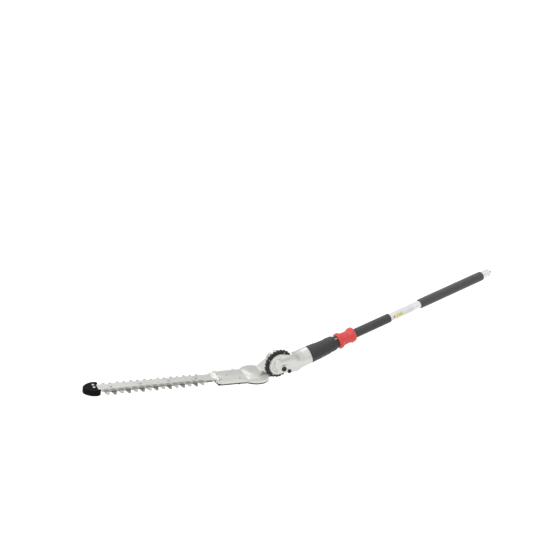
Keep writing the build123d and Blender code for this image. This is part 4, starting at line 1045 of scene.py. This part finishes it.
@dataclass
class CaseMantle:
    """The gear case's upper skin, from the round bulge over the crank to the nose at the guide bar."""

    crank_s: float = 76.0
    bulge: float = 47.1
    base: float = -43.9
    nose: float = 219.0
    nose_lift: float = 6.9
    ring_room: float = 47.7
    rows: int = 300
    columns: int = 230
    near_side: list = field(default_factory=lambda: [
        (100.0, 35.4), (130.0, 33.2), (184.0, 32.3), (195.0, 28.4), (206.0, 18.5), (214.0, 10.5),
        (219.0, 7.0),
    ])
    far_side: list = field(default_factory=lambda: [
        (100.0, 35.4), (130.0, 33.2), (192.0, 32.3), (205.0, 30.8), (213.0, 27.4), (219.0, 21.0),
    ])
    dome: list = field(default_factory=lambda: [
        (0.0, -21.6), (18.0, -21.7), (26.0, -22.6), (34.0, -24.4), (40.0, -27.2), (44.6, -30.4),
        (50.0, -37.0), (60.0, -52.0), (200.0, -60.0),
    ])

    def _width(self, s: np.ndarray, side: list) -> np.ndarray:
        """Half the case's width along it: the bulge's circle and the side's taper, joined softly.

        Args:
            s: the place along the blades from the pivot, in millimetres.
            side: rows of place and half width past the bulge.

        Returns:
            The half width at each place.
        """
        middle = np.clip(s, 71.0, self.crank_s)
        circle = np.sqrt(np.clip(self.bulge**2 - (s - middle) ** 2, 0.0, None))
        places, widths = np.array(side).T
        taper = np.where(s < self.crank_s, 0.0, np.interp(s, places, widths))
        gap = np.clip(1.0 - np.abs(circle - taper) / 9.0, 0.0, 1.0)
        blend = 9.0 / 6.0 * gap**3
        return np.maximum(circle, taper) + np.where(s > self.crank_s, blend, 0.0)

    def _top(self, s: np.ndarray, n: np.ndarray) -> np.ndarray:
        """The skin's height before its sides round over.

        It is the soft maximum, log of the sum of exponentials, of three shapes: the narrow part's back,
        flat in the middle with a crease on each side; the dome about the crank; and the ramp up to the
        knuckle. On the near side it stays outside a circle about the pivot, where the index ring turns.

        Args:
            s: the place along the blades from the pivot, in millimetres.
            n: the distance to the near side.

        Returns:
            The height above the pivot, square to the blades.
        """
        drop = 5.0 * smooth_step(s, 188.0, 219.0)
        lean = np.clip((np.abs(n) - 13.0) / 19.0, 0.0, 1.6)
        back = -25.3 - drop - 7.4 * lean**1.15 - 40.0 * (1.0 - smooth_step(s, 60.0, 100.0))
        groove = 0.8 * window(np.abs(n), 3.0, 7.0, 2.0) * window(s, 118.0, 180.0, 14.0)
        reach = np.hypot(s - np.clip(s, 71.0, self.crank_s), n)
        radius, height = np.array(self.dome).T
        dome = np.interp(reach, radius, height)
        aside = 22.0 * smooth_step(n, 9.0, 24.0) + 26.0 * smooth_step(-n, 19.0, 38.0)
        ramp = np.minimum(-27.0 + (62.0 - s) * 0.93, 2.0) - aside
        soft = 1.6
        top = soft * np.log(np.exp((back - groove) / soft) + np.exp(dome / soft) + np.exp(ramp / soft))
        ceiling = -np.sqrt(np.clip(self.ring_room**2 - s**2, 0.0, None))
        ceiling = np.where(s < self.ring_room, ceiling, 60.0)
        return np.where(n > 10.6, np.minimum(top, ceiling), top)

    def build(self, wardrobe: Wardrobe) -> None:
        """Makes the mantle.

        Across the case, a section is the half superellipse |n/w|^5 + |h|^5 = 1 stretched to the skin's
        height, and it is closed by the flat base. The base rises at the nose, where the blades run under
        it.

        Args:
            wardrobe: the materials.
        """
        share = np.linspace(0.0, 1.0, self.rows)
        start = 71.0 - self.bulge
        s = start + 0.05 + (self.nose - start - 0.05) * (share - 0.12 * np.sin(2 * math.pi * share) / 2)
        near = self._width(s, self.near_side)
        far = self._width(s, self.far_side)
        base = self.base + self.nose_lift * smooth_step(s, 203.5, 206.5)
        angle = np.linspace(-0.5 * math.pi, 0.5 * math.pi, self.columns)
        flat = np.sign(np.sin(angle)) * np.abs(np.sin(angle)) ** (2 / 3)
        share_n = flat * (0.999 + 0.001 * np.abs(flat))
        fall = (1.0 - np.clip(np.abs(share_n), 0.0, 1.0) ** 5) ** (1 / 5)
        n = np.where(share_n > 0, near[:, None] * share_n, far[:, None] * share_n)
        grid_s = np.repeat(s[:, None], self.columns, axis=1)
        top = np.maximum(self._top(grid_s, n), base[:, None] + 0.6)
        z = base[:, None] + (top - base[:, None]) * fall
        points = head_points(grid_s, n, z)
        mantle = surface("case_mantle", points, False, True, cap=True)
        wardrobe.dress(mantle, "cast_silver")
        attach(mantle, "head")
        LOG.info("head: case mantle")


@dataclass
class CarriedNodes:
    """The CAD's own solids, by finish, with those that a piece above stands for."""

    nodes: dict = field(default_factory=lambda: {
        "cast_silver": ["arm_housing", "arm_cover", "head_case", "drum_cap"],
        "pole_metal": ["tube"],
        "bar_metal": ["guide_bar"],
        "blade_upper": ["upper_blade"],
        # lower_blade takes the steel finish that is darkened as painted shade.
        "blade_lower": ["lower_blade"],
        "gear_steel": [
            "drive_shaft", "drive_pinion", "layshaft", "crown_gear", "lay_gear", "web_idler", "web_idler_pin",
            "pivot_shaft", "pivot_gear", "upper_mitre", "head_pinion_shaft", "head_pinion", "lower_mitre",
            "head_idler", "head_idler_pin", "crank_gear", "crank_shaft", "collar_spring", "link_rod",
            "hub_retainer", "blade_spacers",
        ],
        "bush_bronze": ["drive_bush", "lay_bush", "pivot_bush", "crank_bush", "pinion_bush"],
        "black_oxide": [
            # bottom_cover is a real plate, and it is black partly as painted shade: its dark band along the
            # case's lower edge stands for the shadow there.
            "index_ring", "lock_pawl", "bottom_cover", "cover_bolt_large", "cover_bolt_small",
            "case_nuts", "cover_bolts", "blade_nuts",
        ],
        "zinc_plate": [
            "blade_bolts", "case_screws", "retainer_screws", "ring_screws", "cap_screws", "grease_plug",
            "guard_screws",
        ],
        "neck_plastic": ["neck_cover", "collar_stop", "tube_liners"],
        "guard_plastic": ["tip_guard"],
        "collar_red": ["collar"],
        "sleeve_rubber": ["sleeve"],
        "grip_foam": ["foam_grip"],
        "gasket_sheet": ["gasket"],
        "label_film": ["label_wrap"],
    })

    def dress(self, nodes: dict, wardrobe: Wardrobe) -> None:
        """Gives every CAD node its finish.

        Args:
            nodes: the frame's nodes by name.
            wardrobe: the materials.
        """
        for finish, names in self.nodes.items():
            for name in names:
                wardrobe.dress(nodes[name], finish)
        LOG.info("carried nodes: %d finishes", len(self.nodes))


# ---------------------------------------------------------------- studio


@dataclass
class Studio:
    """The plain floor, the soft lights and the camera."""

    floor_z: float = -0.42
    eye: tuple[float, float, float] = (-1.46699, -1.71442, 1.34044)
    right: tuple[float, float, float] = (0.8745, -0.4549, -0.1684)
    down: tuple[float, float, float] = (-0.3597, -0.3752, -0.8543)
    lens: float = 46.26
    air: tuple[float, float] = (0.5, 1.22)
    lamps: tuple = (
        ("key_light", (-2.0, -0.6, 2.6), (-0.8, 0.0, 0.0), 1.6, 24.0),
        ("fill_light", (0.9, -2.4, 1.2), (-0.6, 0.0, 0.0), 1.6, 4.0),
        ("back_light", (-0.2, 2.2, 2.4), (-0.7, 0.0, 0.0), 1.8, 14.0),
    )

    def _floor(self) -> None:
        """A wide pale floor, seen from above only."""
        edge = np.linspace(-30.0, 30.0, 5)
        x, y = np.meshgrid(edge, edge, indexing="ij")
        points = np.stack([x, y, np.full_like(x, self.floor_z)], axis=-1)
        floor = surface("studio_floor", points, False, False)
        material = bpy.data.materials.new("floor_paper")
        material.use_nodes = True
        material.node_tree.nodes.clear()
        sheet = Sheet(material.node_tree)
        place = sheet.add("ShaderNodeTexCoord").outputs["Object"]
        tone = sheet.add("ShaderNodeTexNoise", Vector=place, Scale=3.0, Detail=2.0)
        colour = sheet.mix(tone.outputs["Fac"], (0.50, 0.50, 0.50, 1.0), (0.54, 0.54, 0.54, 1.0))
        paper = sheet.add(
            "ShaderNodeBsdfPrincipled", Base_Color=colour, Roughness=0.95, Specular_IOR_Level=0.1,
            Emission_Color=(1.0, 1.0, 1.0, 1.0), Emission_Strength=0.56,
        )
        clear = sheet.add("ShaderNodeBsdfTransparent")
        facing = sheet.add("ShaderNodeNewGeometry").outputs["Backfacing"]
        both = sheet.add("ShaderNodeMixShader", i0=facing, i1=paper.outputs[0], i2=clear.outputs[0])
        sheet.add("ShaderNodeOutputMaterial", Surface=both.outputs[0])
        floor.data.materials.append(material)

    def _light(self, name: str, place: tuple, aim: tuple, size: float, power: float) -> None:
        """Makes a square area light.

        Args:
            name: the light's name.
            place: where it stands, in metres.
            aim: the point that it faces.
            size: its side, in metres.
            power: its strength, in watts.
        """
        data = bpy.data.lights.new(name, "AREA")
        data.shape = "SQUARE"
        data.size = size
        data.energy = power
        lamp = bpy.data.objects.new(name, data)
        lamp.location = place
        lamp.rotation_euler = (Vector(aim) - Vector(place)).to_track_quat("-Z", "Y").to_euler()
        bpy.context.scene.collection.objects.link(lamp)

    def build(self) -> None:
        """Makes the floor, the lights, the surroundings and the camera."""
        self._floor()
        for lamp in self.lamps:
            self._light(*lamp)
        world = bpy.data.worlds.new("studio_air")
        world.use_nodes = True
        sheet = Sheet(world.node_tree)
        way = sheet.add("ShaderNodeTexCoord").outputs["Generated"]
        height = sheet.add("ShaderNodeSeparateXYZ", Vector=way).outputs["Z"]
        low, high = self.air
        ramp = sheet.add(
            "ShaderNodeMapRange", Value=height, From_Min=-0.1, From_Max=0.9, To_Min=low, To_Max=high
        )
        background = world.node_tree.nodes["Background"]
        background.inputs["Color"].default_value = (1.0, 1.0, 1.0, 1.0)
        world.node_tree.links.new(ramp.outputs["Result"], background.inputs["Strength"])
        scene = bpy.context.scene
        scene.world = world
        scene.view_settings.view_transform = "Standard"
        right = Vector(self.right).normalized()
        up = -Vector(self.down)
        up = (up - right * up.dot(right)).normalized()
        back = right.cross(up)
        data = bpy.data.cameras.new("eye")
        data.lens = self.lens
        data.sensor_width = 36.0
        data.clip_start = 0.05
        data.clip_end = 100.0
        camera = bpy.data.objects.new("eye", data)
        turn = Matrix((right, up, back)).transposed().to_4x4()
        camera.matrix_world = Matrix.Translation(self.eye) @ turn
        scene.collection.objects.link(camera)
        scene.camera = camera
        LOG.info("studio: floor, lights and camera")


def main() -> None:
    """Builds every piece in order."""
    logging.basicConfig(level=logging.INFO)
    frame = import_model()
    wardrobe = Wardrobe()
    CarriedNodes().dress(frame["nodes"], wardrobe)
    PoleParts().build(wardrobe)
    NeckShroud().build(wardrobe)
    ReleaseCollar().build(wardrobe)
    KnuckleArm().build(wardrobe)
    PawlFinger().build(wardrobe)
    CaseMantle().build(wardrobe)
    Studio().build()


if __name__ == "__main__":
    main()
